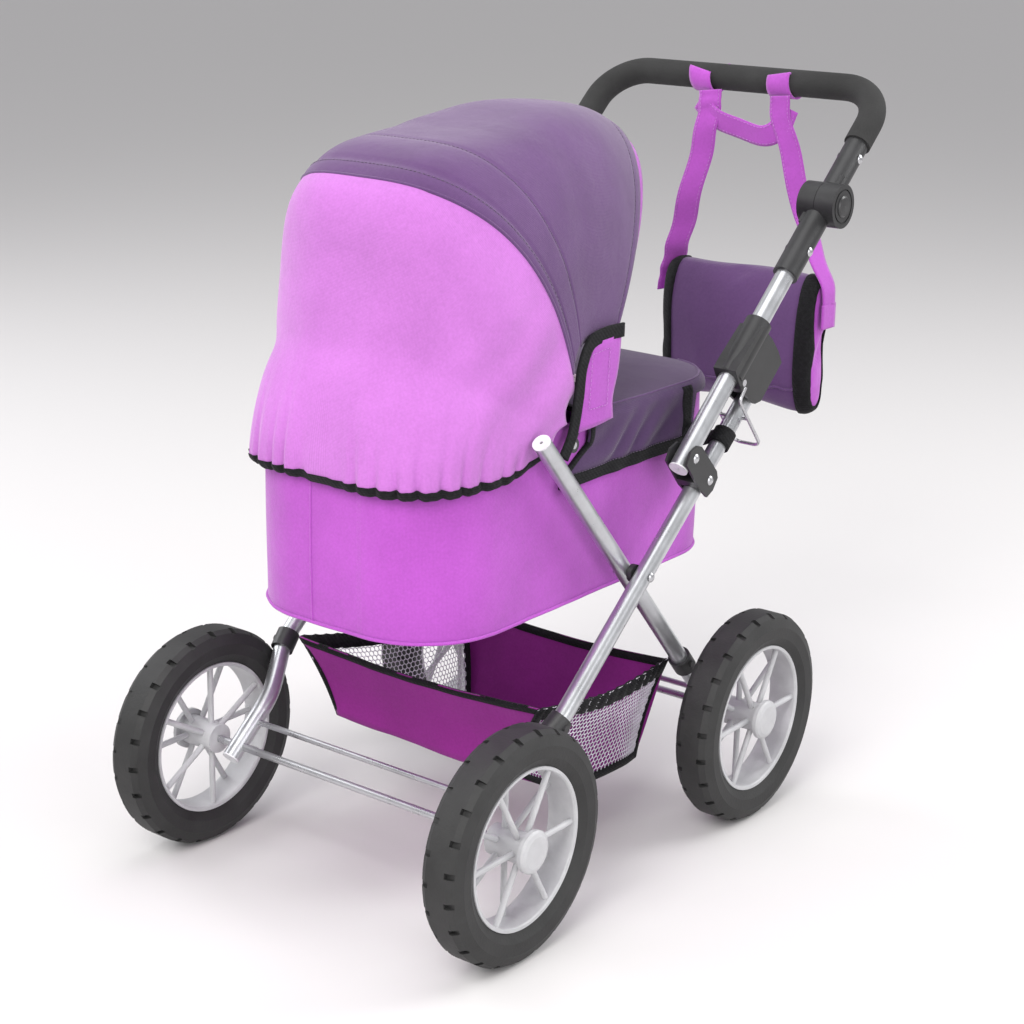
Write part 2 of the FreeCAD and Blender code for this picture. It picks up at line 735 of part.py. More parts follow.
def tyre(label, place):
    """A foam tyre with a rounded shoulder and notched tread blocks."""
    outer = size.wheel_radius
    half = size.tyre_half_width
    seat = size.tyre_inner_radius
    body = turned(label + "_body", [
        (seat, -half + 6), (seat + 8, -half + 1), (outer - 12, -half), (outer - 3, -half + 4),
        (outer, -half + 9), (outer, half - 9), (outer - 3, half - 4), (outer - 12, half),
        (seat + 8, half - 1), (seat, half - 6),
    ])
    notches = []
    for turn, low, high in ((0, -25, -8), (7.5, 8, 25)):
        notch = new_sketch(body, "YZ_Plane")
        notch.AttachmentOffset = Placement(Vector(0, 0, 0), Rotation(Vector(0, 1, 0), turn))
        polygon(notch, [(outer - 4, low), (outer + 3, low), (outer + 3, high), (outer - 4, high)])
        cutter = pocket(body, notch, 5, both_ways=True)
        pattern = body.newObject("PartDesign::PolarPattern", label + "_notches_%d" % len(notches))
        pattern.Originals = [cutter]
        pattern.Axis = (body.Origin.OriginFeatures[2], [""])
        pattern.Angle = 360
        pattern.Occurrences = 24
        body.Tip = pattern
        doc.recompute()
        notches.append(pattern)
    node(body, label, place)


def rim(label, place):
    """A two-lipped rim, a hub barrel and twelve round spokes in two staggered rows."""
    inner = size.tyre_inner_radius
    half = size.rim_half_width
    body = turned(label + "_body", [
        (0, -size.hub_inner_x), (size.hub_radius, -size.hub_inner_x),
        (size.hub_radius, size.hub_outer_x), (0, size.hub_outer_x),
    ])
    for row, (turn, height) in enumerate(((0, 9), (30, -9))):
        spoke = new_sketch(body, "XZ_Plane")
        spoke.AttachmentOffset = Placement(Vector(0, 0, 0), Rotation(Vector(0, 1, 0), turn))
        circle(spoke, size.spoke_radius, (0, height))
        arm = pad(body, spoke, inner - 1)
        pattern = body.newObject("PartDesign::PolarPattern", label + "_spokes_%d" % row)
        pattern.Originals = [arm]
        pattern.Axis = (body.Origin.OriginFeatures[2], [""])
        pattern.Angle = 360
        pattern.Occurrences = 6
        body.Tip = pattern
        doc.recompute()
    ring = new_sketch(body, "XZ_Plane")
    shell = inner - size.rim_wall
    polygon(ring, [
        (shell, -half), (shell + 1, -half - 1.5), (size.rim_lip_radius - 3.4, -half - 1.5),
        (size.rim_lip_radius - 3.1, -half), (inner, -half + 1), (inner, half - 1),
        (size.rim_lip_radius - 3.1, half), (size.rim_lip_radius - 3.4, half + 1.5),
        (shell + 1, half + 1.5), (shell, half),
    ])
    revolution(body, ring)
    bore = new_sketch(body, "XY_Plane", -40)
    circle(bore, size.axle_radius + size.shaft_gap)
    pocket(body, bore, 80, backwards=True)
    node(body, label, place)


def hub_cap(label, place):
    """A domed round cap on the hub's outboard end, with a blind hole for the axle."""
    base = size.hub_outer_x
    radius = size.hub_cap_radius
    height = size.hub_cap_height
    bore = size.axle_radius + size.shaft_gap
    body = turned(label + "_body", [
        (bore, base), (radius, base), (radius, base + height * 0.55), (radius - 1.6, base + height * 0.8),
        (radius - 5, base + height), (0, base + height), (0, base + 3), (bore, base + 3),
    ])
    node(body, label, place)


# ---------------------------------------------------------------- soft panels
def patch(rows):
    """A smooth open surface through rows of points."""
    surface = Part.BSplineSurface()
    surface.interpolate(rows)
    return surface


def thick_patch(outer_rows, inner_rows):
    """A closed solid between two smooth surfaces with matching borders."""
    surfaces = [patch(outer_rows), patch(inner_rows)]
    borders = []
    for surface in surfaces:
        u_low, u_high, v_low, v_high = surface.bounds()
        borders.append([surface.uIso(u_low), surface.uIso(u_high), surface.vIso(v_low), surface.vIso(v_high)])
    faces = [surface.toShape() for surface in surfaces]
    for outer_curve, inner_curve in zip(*borders):
        faces.append(Part.makeRuledSurface(outer_curve.toShape(), inner_curve.toShape()))
    shell = Part.makeShell(faces)
    shell.sewShape()
    solid = Part.Solid(shell)
    if solid.Volume < 0:
        solid.reverse()
    return solid


def from_table(stations, key):
    """A value read off a table of (station, value) pairs, straight between them."""
    for (low, low_value), (high, high_value) in zip(stations, stations[1:]):
        if low <= key <= high:
            share = (key - low) / (high - low)
            return low_value + (high_value - low_value) * share
    return stations[-1][1] if key > stations[-1][0] else stations[0][1]


# Radius of the hood's middle line from its pivot, by angle from +Y.
HOOD_PROFILE = [(56, 305), (66, 294), (77, 279), (87, 265), (95, 260), (104, 263), (114, 271),
                (124, 267), (135, 229), (150, 197), (165, 188), (180, 190)]
# Exponent of the hood's rounded cross-section: squarer at the hem, to pass the cot's corners.
HOOD_ROUNDNESS = [(56, 2.3), (90, 3.8), (120, 3.1), (150, 2.7), (165, 3.8), (180, 4.0)]


# The hoop leans at this angle; its arch touches the hood's section at these places around it.
HOOP_ANGLE = 62
HOOP_TANGENTS = (14, 28, 42, 55, 67, 79, 90, 101, 113, 125, 138, 152, 166)
HOOP_INSET = 6.4


def hood_point(angle, around, inset):
    """A point on the hood: angle about the pivot, around from the left hem to the right."""
    half_width = number("hood_half_width") - inset
    reach = from_table(HOOD_PROFILE, angle) - inset
    turn = math.radians(around)
    power = 2 / from_table(HOOD_ROUNDNESS, angle)
    across = math.copysign(abs(math.cos(turn)) ** power, -math.cos(turn)) * half_width
    out = math.sin(turn) ** power * reach
    slope = math.radians(angle)
    return HOOD_PIVOT + Vector(across, math.cos(slope) * out, math.sin(slope) * out)


def hood_seam(share):
    """The seam between the hood's foot panel and its canopy leans back at the sides."""
    return 98 + 23 * math.sin(math.pi * share) ** 0.8


def hood_shell(low_angle, high_angle, low_reach, rows=7, columns=17):
    """A panel of the hood between two borders given as functions of the place around."""
    wall = number("hood_wall")
    layers = []
    for inset in (0, wall):
        grid = []
        for row in range(rows):
            line = []
            for column in range(columns):
                share = column / (columns - 1)
                angle = low_angle(share) + (high_angle(share) - low_angle(share)) * row / (rows - 1)
                hem = low_reach(row / (rows - 1))
                around = hem + (180 - 2 * hem) * share
                line.append(hood_point(angle, around, inset))
            grid.append(line)
        layers.append(grid)
    return thick_patch(*layers)


def hood_panels():
    """The hood's foot panel down to its hem, and the canopy with its visor."""
    front = hood_shell(hood_seam, lambda share: 180, lambda row: 3.2)
    shape_node("hood_front_panel", front)
    canopy = hood_shell(lambda share: 56, lambda share: hood_seam(share) - 0.5, lambda row: 16.4 - 11.8 * row)
    shape_node("hood_canopy", canopy)


def meeting_point(first, second):
    """Where two lines in one plane meet, each given as a point and a direction."""
    (start, direction), (other_start, other_direction) = first, second
    across = direction.cross(other_direction)
    reach = (other_start - start).cross(other_direction).dot(across) / across.dot(across)
    return start + direction * reach


def hoop_path(half):
    """Two upright legs and an arch just inside the hood, as straight runs and tangent arcs."""
    along = travel(Vector(), HOOP_ANGLE, 1)
    feet = [HOOD_PIVOT + Vector(side * half, 0, 0) + along * 5 for _, side in SIDES]
    lines = [(feet[0], along)]
    for around in HOOP_TANGENTS:
        here = hood_point(HOOP_ANGLE, around, HOOP_INSET)
        ahead = hood_point(HOOP_ANGLE, around + 0.2, HOOP_INSET)
        lines.append((here, (ahead - here).normalize()))
    lines.append((feet[1], along))
    corners = [meeting_point(*pair) for pair in zip(lines, lines[1:])]
    points = [feet[0]] + corners + [feet[1]]
    radii = []
    for before, corner, after in zip(points, points[1:], points[2:]):
        half_turn = (corner - before).getAngle(after - corner) / 2
        setback = 0.45 * min((corner - before).Length, (after - corner).Length)
        radii.append(setback / math.tan(half_turn))
    return rounded_path(points, radii)


def hood_hoop():
    """A wire hoop under the canopy's open edge, with an eye at each pivot."""
    wire = number("hoop_radius")
    half = number("hoop_half_width")
    hoop = swept_rod(hoop_path(half), wire)
    pins = []
    for _, side in SIDES:
        eye_start = HOOD_PIVOT + Vector(side * (half - wire), 0, 0)
        eye = Part.makeCylinder(6.5, 2 * wire, eye_start, Vector(side, 0, 0))
        hoop = hoop.fuse(eye)
        pin_start = HOOD_PIVOT + Vector(side * 108, 0, 0)
        pins.append(Part.makeCylinder(3, half + wire + 0.3 - 108, pin_start, Vector(side, 0, 0)))
        pins[-1] = pins[-1].fuse(Part.makeCylinder(5, 2, pin_start, Vector(side, 0, 0)))
    hoop = drilled(hoop.removeSplitter(), HOOD_PIVOT, 3 + number("shaft_gap"), 140)
    shape_node("hood_hoop", hoop)
    shape_node("hood_hinge_pins", Part.Compound(pins))


# ---------------------------------------------------------------- carrycot
def vertical_edges(shape, low_y, high_y):
    """Names of a pad's upright edges whose Y lies in a range."""
    names = []
    for index, edge in enumerate(shape.Edges, start=1):
        start, end = edge.Vertexes[0].Point, edge.Vertexes[-1].Point
        upright = abs(start.x - end.x) < 1e-6 and abs(start.y - end.y) < 1e-6
        if upright and low_y <= start.y <= high_y:
            names.append("Edge%d" % index)
    return names


def rounded_slab(label, half_width, front_y, rear_y, height, front_corner, rear_corner):
    """A slab with rounded plan corners, larger at the front than at the rear."""
    body = new_body(label + "_body")
    plan = new_sketch(body)
    corners = [(-half_width, front_y), (half_width, front_y), (half_width, rear_y), (-half_width, rear_y)]
    polygon(plan, corners)
    solid = pad(body, plan, height)
    for corner, low_y, high_y in ((front_corner, -1000, -200), (rear_corner, 0, 1000)):
        if not corner:
            continue
        names = vertical_edges(solid.Shape, low_y, high_y)
        rounding = body.newObject("PartDesign::Fillet", label + "_corner_%d" % abs(low_y))
        rounding.Base = (solid, names)
        bind(rounding, "Radius", corner)
        doc.recompute()
        solid = rounding
    return body, solid


def carrycot():
    """A padded open tub with a stiff board and a mattress inside."""
    half = size.cot_half_width
    wall = size.cot_wall
    body, solid = rounded_slab("carrycot_shell", half, size.cot_front_y, size.cot_rear_y,
                               size.cot_height, size.cot_corner, size.cot_corner - 10)
    top = max(range(len(solid.Shape.Faces)), key=lambda i: solid.Shape.Faces[i].CenterOfMass.z)
    hollow = body.newObject("PartDesign::Thickness", "carrycot_hollow")
    hollow.Base = (solid, ["Face%d" % (top + 1)])
    bind(hollow, "Value", wall)
    hollow.Reversed = True
    hollow.Join = 0
    doc.recompute()
    pins = new_sketch(body, "YZ_Plane")
    circle(pins, 3, (size.hood_pivot_y, size.hood_pivot_z - size.cot_bottom_z))
    pocket(body, pins, 400, both_ways=True)
    node(body, "carrycot_shell", Placement(Vector(0, 0, number("cot_bottom_z")), UPRIGHT))
    inset = wall + 2
    board, _ = rounded_slab("carrycot_board", half - inset, size.cot_front_y + inset, size.cot_rear_y - inset,
                            size.board_thickness, size.cot_corner - inset, size.cot_corner - 10 - inset)
    board_z = number("cot_bottom_z") + number("cot_wall")
    node(board, "carrycot_board", Placement(Vector(0, 0, board_z), UPRIGHT))
    inset = wall + 4
    pillow, _ = rounded_slab("mattress", half - inset, size.cot_front_y + inset, size.cot_rear_y - inset,
                             size.mattress_thickness, size.cot_corner - inset, size.cot_corner - 10 - inset)
    node(pillow, "mattress", Placement(Vector(0, 0, board_z + number("board_thickness")), UPRIGHT))


def apron():
    """The cover over the cot's foot end, with a skirt down each side."""
    half = size.cot_half_width + 0.6 + size.apron_thickness
    body, solid = rounded_slab("apron", half, size.apron_front_y, size.cot_rear_y - 1,
                               size.apron_crown, 0, size.cot_corner - 10)
    rim_edges = []
    for index, edge in enumerate(solid.Shape.Edges, start=1):
        flat = all(abs(v.Point.z - number("apron_crown")) < 1e-6 for v in edge.Vertexes)
        if flat and edge.CenterOfMass.y > number("apron_front_y") + 1:
            rim_edges.append("Edge%d" % index)
    crown = body.newObject("PartDesign::Fillet", "apron_rounding")
    crown.Base = (solid, rim_edges)
    crown.Radius = 9
    doc.recompute()
    cot_top = size.cot_bottom_z + size.cot_height + 1
    for side_name, side in SIDES:
        skirt = new_sketch(body)
        x_in = half - size.apron_thickness
        left, right = (x_in, half) if side > 0 else (-half, -x_in)
        polygon(skirt, [(left, size.apron_front_y), (right, size.apron_front_y),
                        (right, size.apron_skirt_end), (left, size.apron_skirt_end)])
        drop = pad(body, skirt, cot_top - size.apron_skirt_z, backwards=True)
        drop.Label = "apron_skirt_" + side_name
    node(body, "apron", Placement(Vector(0, 0, cot_top.value), UPRIGHT))


def carrycot_straps():
    """Four webbing loops that hang the carrycot from the lower tubes."""
    slope = number("front_tube_angle")
    radius = number("tube_radius")
    wall_x = number("cot_half_width")
    loops = []
    for _, side in SIDES:
        for distance in (340, 418):
            centre = at_x(travel(FRONT_AXLE, slope, distance), side * number("outer_plane_x"))
            start = travel(centre, slope, -9)
            band = rod_between(start, travel(centre, slope, 9), radius + 1.6)
            tail_length = number("outer_plane_x") - wall_x
            tail = Part.makeBox(tail_length, 18, 1.8, Vector(0, -9, -0.9))
            turn = Rotation(Vector(1, 0, 0), slope)
            corner = Vector(wall_x if side > 0 else -number("outer_plane_x"), 0, 0)
            tail.Placement = Placement(at_x(centre, corner.x), turn)
            whole = band.fuse(tail).removeSplitter()
            bore = rod_between(travel(centre, slope, -20), travel(centre, slope, 20), radius)
            loops.append(whole.cut(bore))
    shape_node("carrycot_straps", Part.Compound(loops))


# ---------------------------------------------------------------- basket
# Stations along the basket: top (y, z), half-width at the top, floor (y, z), half-width there.
BASKET_STATIONS = [
    ((-175, 180), 137, (-160, 106), 104),
    ((-120, 168), 133, (-118, 82), 106),
    ((-60, 158), 129, (-62, 65), 106),
    ((0, 156), 125, (0, 59), 104),
    ((46, 158), 122, (31, 58), 100),
]


def basket_tub(inset, lift):
    """The basket's outline as a solid, drawn in by an inset and raised at the top."""
    wires = []
    count = len(BASKET_STATIONS)
    for index, (top, top_half, floor, floor_half) in enumerate(BASKET_STATIONS):
        shift = inset * (1 - 2 * index / (count - 1))
        corners = [
            Vector(-top_half + inset, top[0] + shift, top[1] + lift),
            Vector(-floor_half + inset, floor[0] + shift, floor[1] + inset),
            Vector(floor_half - inset, floor[0] + shift, floor[1] + inset),
            Vector(top_half - inset, top[0] + shift, top[1] + lift),
        ]
        wires.append(Part.makePolygon(corners + corners[:1]))
    return Part.makeLoft(wires, True, False)


def basket():
    """An open fabric tub under the chassis."""
    outer = basket_tub(0, 0)
    inner = basket_tub(number("basket_wall"), 0.5)
    shape_node("basket", outer.cut(inner))


def basket_clips(label, paths, distance):
    """A pair of clamps on two tubes, each with a screw on its outboard face."""
    clips = []
    radius = number("tube_radius")
    for path in paths:
        points = path.discretize(Distance=1)
        centre = points[int(distance)]
        along = (points[int(distance) + 1] - centre).normalize()
        side = 1 if centre.x > 0 else -1
        clamp = rod_between(centre - along * 9, centre + along * 9, radius + 2.6)
        clamp = clamp.fuse(rod_between(centre, centre + Vector(side * (radius + 4), 0, 0), 3.6))
        clamp = clamp.cut(swept_rod(path, radius))
        clips.append(clamp.removeSplitter())
    shape_node(label, Part.Compound(clips))


# ---------------------------------------------------------------- bag
def superellipse_wire(centre, half_x, half_y, exponent=3.2, count=28):
    """A smooth rounded rectangle in a level plane."""
    points = []
    for step in range(count):
        turn = 2 * math.pi * step / count
        power = 2 / exponent
        x = math.copysign(abs(math.cos(turn)) ** power, math.cos(turn)) * half_x
        y = math.copysign(abs(math.sin(turn)) ** power, math.sin(turn)) * half_y
        points.append(centre + Vector(x, y, 0))
    curve = Part.BSplineCurve()
    curve.interpolate(points, PeriodicFlag=True)
    return Part.Wire([curve.toShape()])


def strip(points, width, y, thickness):
    """A flat strip that follows a line in the XZ plane, standing square to Y."""
    edges = []
    for sign in (1, -1):
        border = []
        for index, (x, z) in enumerate(points):
            before = points[max(index - 1, 0)]
            after = points[min(index + 1, len(points) - 1)]
            run = Vector(after[0] - before[0], 0, after[1] - before[1]).normalize()
            border.append(Vector(x, y - thickness / 2, z) + Vector(-run.z, 0, run.x) * (sign * width / 2))
        edges.append(border)
    outline = edges[0] + edges[1][::-1]
    return Part.Face(Part.makePolygon(outline + outline[:1])).extrude(Vector(0, thickness, 0))


def bag():
    """A soft shoulder bag on the handle bar: a rounded body and one looped strap."""
    left, right = number("bag_left_x"), number("bag_right_x")
    bottom, height = number("bag_bottom_z"), number("bag_height")
    middle = Vector((left + right) / 2, BAR.y, 0)
    half_x = (right - left) / 2
    half_y = number("bag_depth") / 2
    wires = []
    stations = ((0, 0.90, 0.70), (0.06, 0.97, 0.92), (0.5, 1, 1), (0.9, 0.97, 0.84), (1, 0.94, 0.66))
    for share, wide, deep in stations:
        centre = middle + Vector(0, 0, bottom + height * share)
        wires.append(superellipse_wire(centre, half_x * wide, half_y * deep))
    body = Part.makeLoft(wires, True, False)
    shape_node("bag_body", body)
    width, thick = number("strap_width"), number("strap_thickness")
    inner = number("grip_radius") + number("part_gap")
    strap = None
    top_z = BAR.z - inner
    for low_x, high_x in ((-62, -62 + width), (32, 32 + width)):
        ring = Part.makeCylinder(inner + thick, high_x - low_x, at_x(BAR, low_x), Vector(1, 0, 0))
        ring = ring.cut(Part.makeCylinder(inner, high_x - low_x, at_x(BAR, low_x), Vector(1, 0, 0)))
        strap = ring if strap is None else strap.fuse(ring)
    falls = [
        [(-45, top_z - 0.8), (-40, 608), (-72, bottom + height - 8)],
        [(47, top_z - 0.8), (54, 608), (80, 534), (96, bottom + height - 8)],
        [(-48, top_z - 0.8), (-20, 612), (12, 603), (36, 616), (44, top_z - 0.8)],
    ]
    for line in falls:
        strap = strap.fuse(strip(line, width, BAR.y, thick))
    strap = strap.cut(Part.makeCylinder(inner, 400, at_x(BAR, -200), Vector(1, 0, 0))).cut(body)
    shape_node("bag_strap", strap.removeSplitter())


# ---------------------------------------------------------------- build
for side_name, side in SIDES:
    front_tube("front_tube_" + side_name, side)
    rear_tube("rear_tube_" + side_name, side)
    link_bracket("link_bracket_" + side_name, side)
    upper_tube("upper_tube_" + side_name, side)
    lock_housing("lock_housing_" + side_name, side)
    lock_bail("lock_bail_" + side_name, side)
    hinge_socket("hinge_socket_" + side_name, side)
    hinge_arm("hinge_arm_" + side_name, side)
    hinge_button("hinge_button_" + side_name, side)
tube_plugs()
pivot_hardware()
handle_bar()
wheel_axle("front_axle", FRONT_AXLE)
wheel_axle("rear_axle", REAR_AXLE)
cross_rod("front_cross_rod", travel(FRONT_AXLE, number("front_tube_angle"), 27),
          number("axle_plane_x"), number("front_tube_angle"))
cross_rod("rear_cross_rod", travel(REAR_AXLE, LEG_ANGLE, 27), number("leg_plane_x"), LEG_ANGLE)
for axle_name, axle in WHEELS:
    for side_name, side in SIDES:
        stem = "%s_%s" % (axle_name, side_name)
        place = Placement(at_x(axle, side * number("wheel_plane_x")), facing(side))
        tyre("tyre_" + stem, place)
        rim("rim_" + stem, place)
        hub_cap("hub_cap_" + stem, place)
carrycot()
carrycot_straps()
apron()
hood_panels()
hood_hoop()
basket()
basket_clips("basket_clips_front", [front_tube_path(side) for _, side in SIDES], 127)
basket_clips("basket_clips_rear", [rear_tube_path(side) for _, side in SIDES], 91)
bag()
doc.recompute()

# ---------------------------------------------------------------- checks and export
for item in doc.Objects:
    if "Invalid" in item.State or "Error" in item.State:
        raise RuntimeError("%s is not valid: %s" % (item.Label, item.State))
for item in NODES:
    if item.Shape.isNull() or not item.Shape.isValid():
        raise RuntimeError("%s has no valid shape" % item.Label)

os.makedirs("parts", exist_ok=True)
for item in NODES:
    item.Shape.exportStep("parts/%s.step" % item.Label)
print("%d sub-parts written" % len(NODES))
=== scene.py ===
"""Doll stroller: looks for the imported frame.  Metres, +X right, +Y towards the handle, +Z up."""

import math

import bmesh
import bpy
import numpy as np
from mathutils import Matrix, Vector, noise
from mathutils.bvhtree import BVHTree


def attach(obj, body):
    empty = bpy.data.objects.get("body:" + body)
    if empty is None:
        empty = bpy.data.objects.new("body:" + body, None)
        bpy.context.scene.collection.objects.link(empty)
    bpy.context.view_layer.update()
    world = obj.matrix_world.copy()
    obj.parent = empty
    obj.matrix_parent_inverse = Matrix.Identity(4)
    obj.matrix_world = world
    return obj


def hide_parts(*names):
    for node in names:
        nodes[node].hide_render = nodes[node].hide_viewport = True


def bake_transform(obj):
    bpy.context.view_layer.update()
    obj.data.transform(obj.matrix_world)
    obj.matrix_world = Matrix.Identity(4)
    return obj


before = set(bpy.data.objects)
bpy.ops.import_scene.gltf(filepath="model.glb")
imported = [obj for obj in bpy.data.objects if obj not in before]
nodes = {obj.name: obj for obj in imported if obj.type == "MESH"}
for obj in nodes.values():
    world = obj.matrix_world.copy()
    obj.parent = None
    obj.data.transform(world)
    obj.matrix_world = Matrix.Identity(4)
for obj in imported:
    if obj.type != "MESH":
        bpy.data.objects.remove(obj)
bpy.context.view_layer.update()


def mm(*values):
    """A point in metres from millimetres."""
    return np.array(values, float) / 1000


# ------------------------------------------------------------------ materials
def new_material(name, color, roughness, metallic=0.0, **inputs):
    """A principled material and the few nodes that the detail is hung on."""
    material = bpy.data.materials.new(name)
    material.use_nodes = True
    tree = material.node_tree
    shader = tree.nodes["Principled BSDF"]
    shader.inputs["Base Color"].default_value = (*color, 1)
    shader.inputs["Roughness"].default_value = roughness
    shader.inputs["Metallic"].default_value = metallic
    for key, value in inputs.items():
        shader.inputs[key.replace("_", " ")].default_value = value
    return material, tree, shader


def add_node(tree, kind, **settings):
    node = tree.nodes.new(kind)
    for key, value in settings.items():
        if key in node.inputs:
            node.inputs[key].default_value = value
        else:
            setattr(node, key, value)
    return node


def noise_node(tree, vector, scale, detail=3.0, roughness=0.5):
    node = add_node(tree, "ShaderNodeTexNoise")
    node.inputs["Scale"].default_value = scale
    node.inputs["Detail"].default_value = detail
    node.inputs["Roughness"].default_value = roughness
    tree.links.new(vector, node.inputs["Vector"])
    return node.outputs["Fac"]


def ramp_node(tree, factor, low, high, start=0.35, end=0.65):
    """A colour that goes from low to high as a factor rises from start to end."""
    node = add_node(tree, "ShaderNodeValToRGB")
    node.color_ramp.elements[0].position = start
    node.color_ramp.elements[0].color = (*low, 1)
    node.color_ramp.elements[1].position = end
    node.color_ramp.elements[1].color = (*high, 1)
    tree.links.new(factor, node.inputs["Fac"])
    return node.outputs["Color"]


def math_node(tree, operation, first, second):
    node = add_node(tree, "ShaderNodeMath", operation=operation)
    for socket, value in zip(node.inputs, (first, second)):
        if isinstance(value, (int, float)):
            socket.default_value = value
        else:
            tree.links.new(value, socket)
    return node.outputs["Value"]


def add_bump(tree, shader, layers):
    """Bumps stacked one on another, from (height socket, strength, distance)."""
    previous = None
    for height, strength, distance in layers:
        bump = add_node(tree, "ShaderNodeBump")
        bump.inputs["Strength"].default_value = strength
        bump.inputs["Distance"].default_value = distance
        tree.links.new(height, bump.inputs["Height"])
        if previous is not None:
            tree.links.new(previous, bump.inputs["Normal"])
        previous = bump.outputs["Normal"]
    tree.links.new(previous, shader.inputs["Normal"])


def object_coordinates(tree):
    return add_node(tree, "ShaderNodeTexCoord").outputs["Object"]


def shaded(color, factor):
    return tuple(min(1, c * factor) for c in color)


def fabric(name, color, pitch=0.0011, on_uv=True, sheen=0.30, contrast=0.16):
    """Woven cloth: crossing threads, soft creases, slight fading and a dusty sheen."""
    material, tree, shader = new_material(
        name, color, 0.82, Sheen_Weight=sheen, Sheen_Roughness=0.45, Specular_IOR_Level=0.25)
    place = object_coordinates(tree)
    cloth = place
    if on_uv:
        cloth = add_node(tree, "ShaderNodeUVMap", uv_map="cloth").outputs["UV"]
    threads = []
    for direction in ("X", "Y" if on_uv else "Z"):
        wave = add_node(tree, "ShaderNodeTexWave", bands_direction=direction)
        wave.inputs["Scale"].default_value = 0.314 / pitch
        wave.inputs["Distortion"].default_value = 0.6
        wave.inputs["Detail"].default_value = 1.0
        tree.links.new(cloth, wave.inputs["Vector"])
        threads.append(wave.outputs["Fac"])
    weave = math_node(tree, "MULTIPLY", threads[0], threads[1])
    broad = noise_node(tree, place, 9, 4.0, 0.6)
    fine = noise_node(tree, place, 420, 2.0)
    tone = math_node(tree, "ADD", math_node(tree, "MULTIPLY", weave, contrast),
                     math_node(tree, "ADD", math_node(tree, "MULTIPLY", broad, 0.55),
                               math_node(tree, "MULTIPLY", fine, 0.25)))
    color_out = ramp_node(tree, tone, shaded(color, 0.74), shaded(color, 1.18), 0.25, 0.72)
    tree.links.new(color_out, shader.inputs["Base Color"])
    crease = noise_node(tree, place, 26, 3.0, 0.55)
    add_bump(tree, shader, [(crease, 0.35, 0.004), (weave, 0.35, 0.0005), (fine, 0.2, 0.0004)])
    return material


def webbing(name, color, pitch=0.0022):
    """Ribbed tape: cross ribs on a dark narrow weave."""
    material, tree, shader = new_material(name, color, 0.8, Sheen_Weight=0.03, Specular_IOR_Level=0.2)
    place = object_coordinates(tree)
    ribs = []
    for direction in ("DIAGONAL", "Z"):
        wave = add_node(tree, "ShaderNodeTexWave", bands_direction=direction)
        wave.inputs["Scale"].default_value = 0.314 / pitch
        tree.links.new(place, wave.inputs["Vector"])
        ribs.append(wave.outputs["Fac"])
    rib = math_node(tree, "ADD", ribs[0], ribs[1])
    fine = noise_node(tree, place, 300)
    tree.links.new(ramp_node(tree, fine, shaded(color, 0.6), shaded(color, 1.9), 0.3, 0.8),
                   shader.inputs["Base Color"])
    add_bump(tree, shader, [(rib, 0.3, 0.0006), (fine, 0.25, 0.0005)])
    return material


def plastic(name, color, roughness, grain=900, depth=0.00025, wear=1.35, coat=0.0):
    """Moulded plastic: a fine eroded grain, uneven gloss and slightly lighter worn patches."""
    material, tree, shader = new_material(name, color, roughness, Coat_Weight=coat, Coat_Roughness=0.25)
    place = object_coordinates(tree)
    fine = noise_node(tree, place, grain, 2.0)
    patch = noise_node(tree, place, 22, 4.0, 0.65)
    tree.links.new(ramp_node(tree, patch, shaded(color, 0.85), shaded(color, wear), 0.35, 0.75),
                   shader.inputs["Base Color"])
    rough = math_node(tree, "ADD", math_node(tree, "MULTIPLY", patch, 0.16), roughness - 0.08)
    tree.links.new(rough, shader.inputs["Roughness"])
    add_bump(tree, shader, [(fine, 0.35, depth)])
    return material


def metal(name, color, roughness, streaks=True):
    """Painted or plated steel: faint drawing lines, smudges and uneven gloss."""
    material, tree, shader = new_material(name, color, roughness, metallic=0.85, Coat_Weight=0.2,
                                          Coat_Roughness=0.2)
    place = object_coordinates(tree)
    smudge = noise_node(tree, place, 35, 5.0, 0.6)
    scratch = noise_node(tree, place, 700, 2.0)
    tree.links.new(ramp_node(tree, smudge, shaded(color, 0.88), shaded(color, 1.1), 0.3, 0.7),
                   shader.inputs["Base Color"])
    rough = math_node(tree, "ADD", math_node(tree, "MULTIPLY", smudge, 0.2), roughness - 0.1)
    tree.links.new(rough, shader.inputs["Roughness"])
    add_bump(tree, shader, [(scratch, 0.08 if streaks else 0.2, 0.0002)])
    return material


VIOLET = (0.44, 0.085, 0.505)
# Painted highlight: a paler copy of the violet for the hood's foot panel, standing in for the light falling
# on its top.
HIGHLIT_VIOLET = (0.50, 0.165, 0.55)
SHADED_VIOLET = (0.28, 0.020, 0.25)
PURPLE = (0.112, 0.050, 0.155)
# Painted shade: a darker copy of the purple for the apron, standing in for the shade it lies in.
SHADED_APRON_PURPLE = (0.070, 0.033, 0.100)
BLACK = (0.006, 0.006, 0.007)

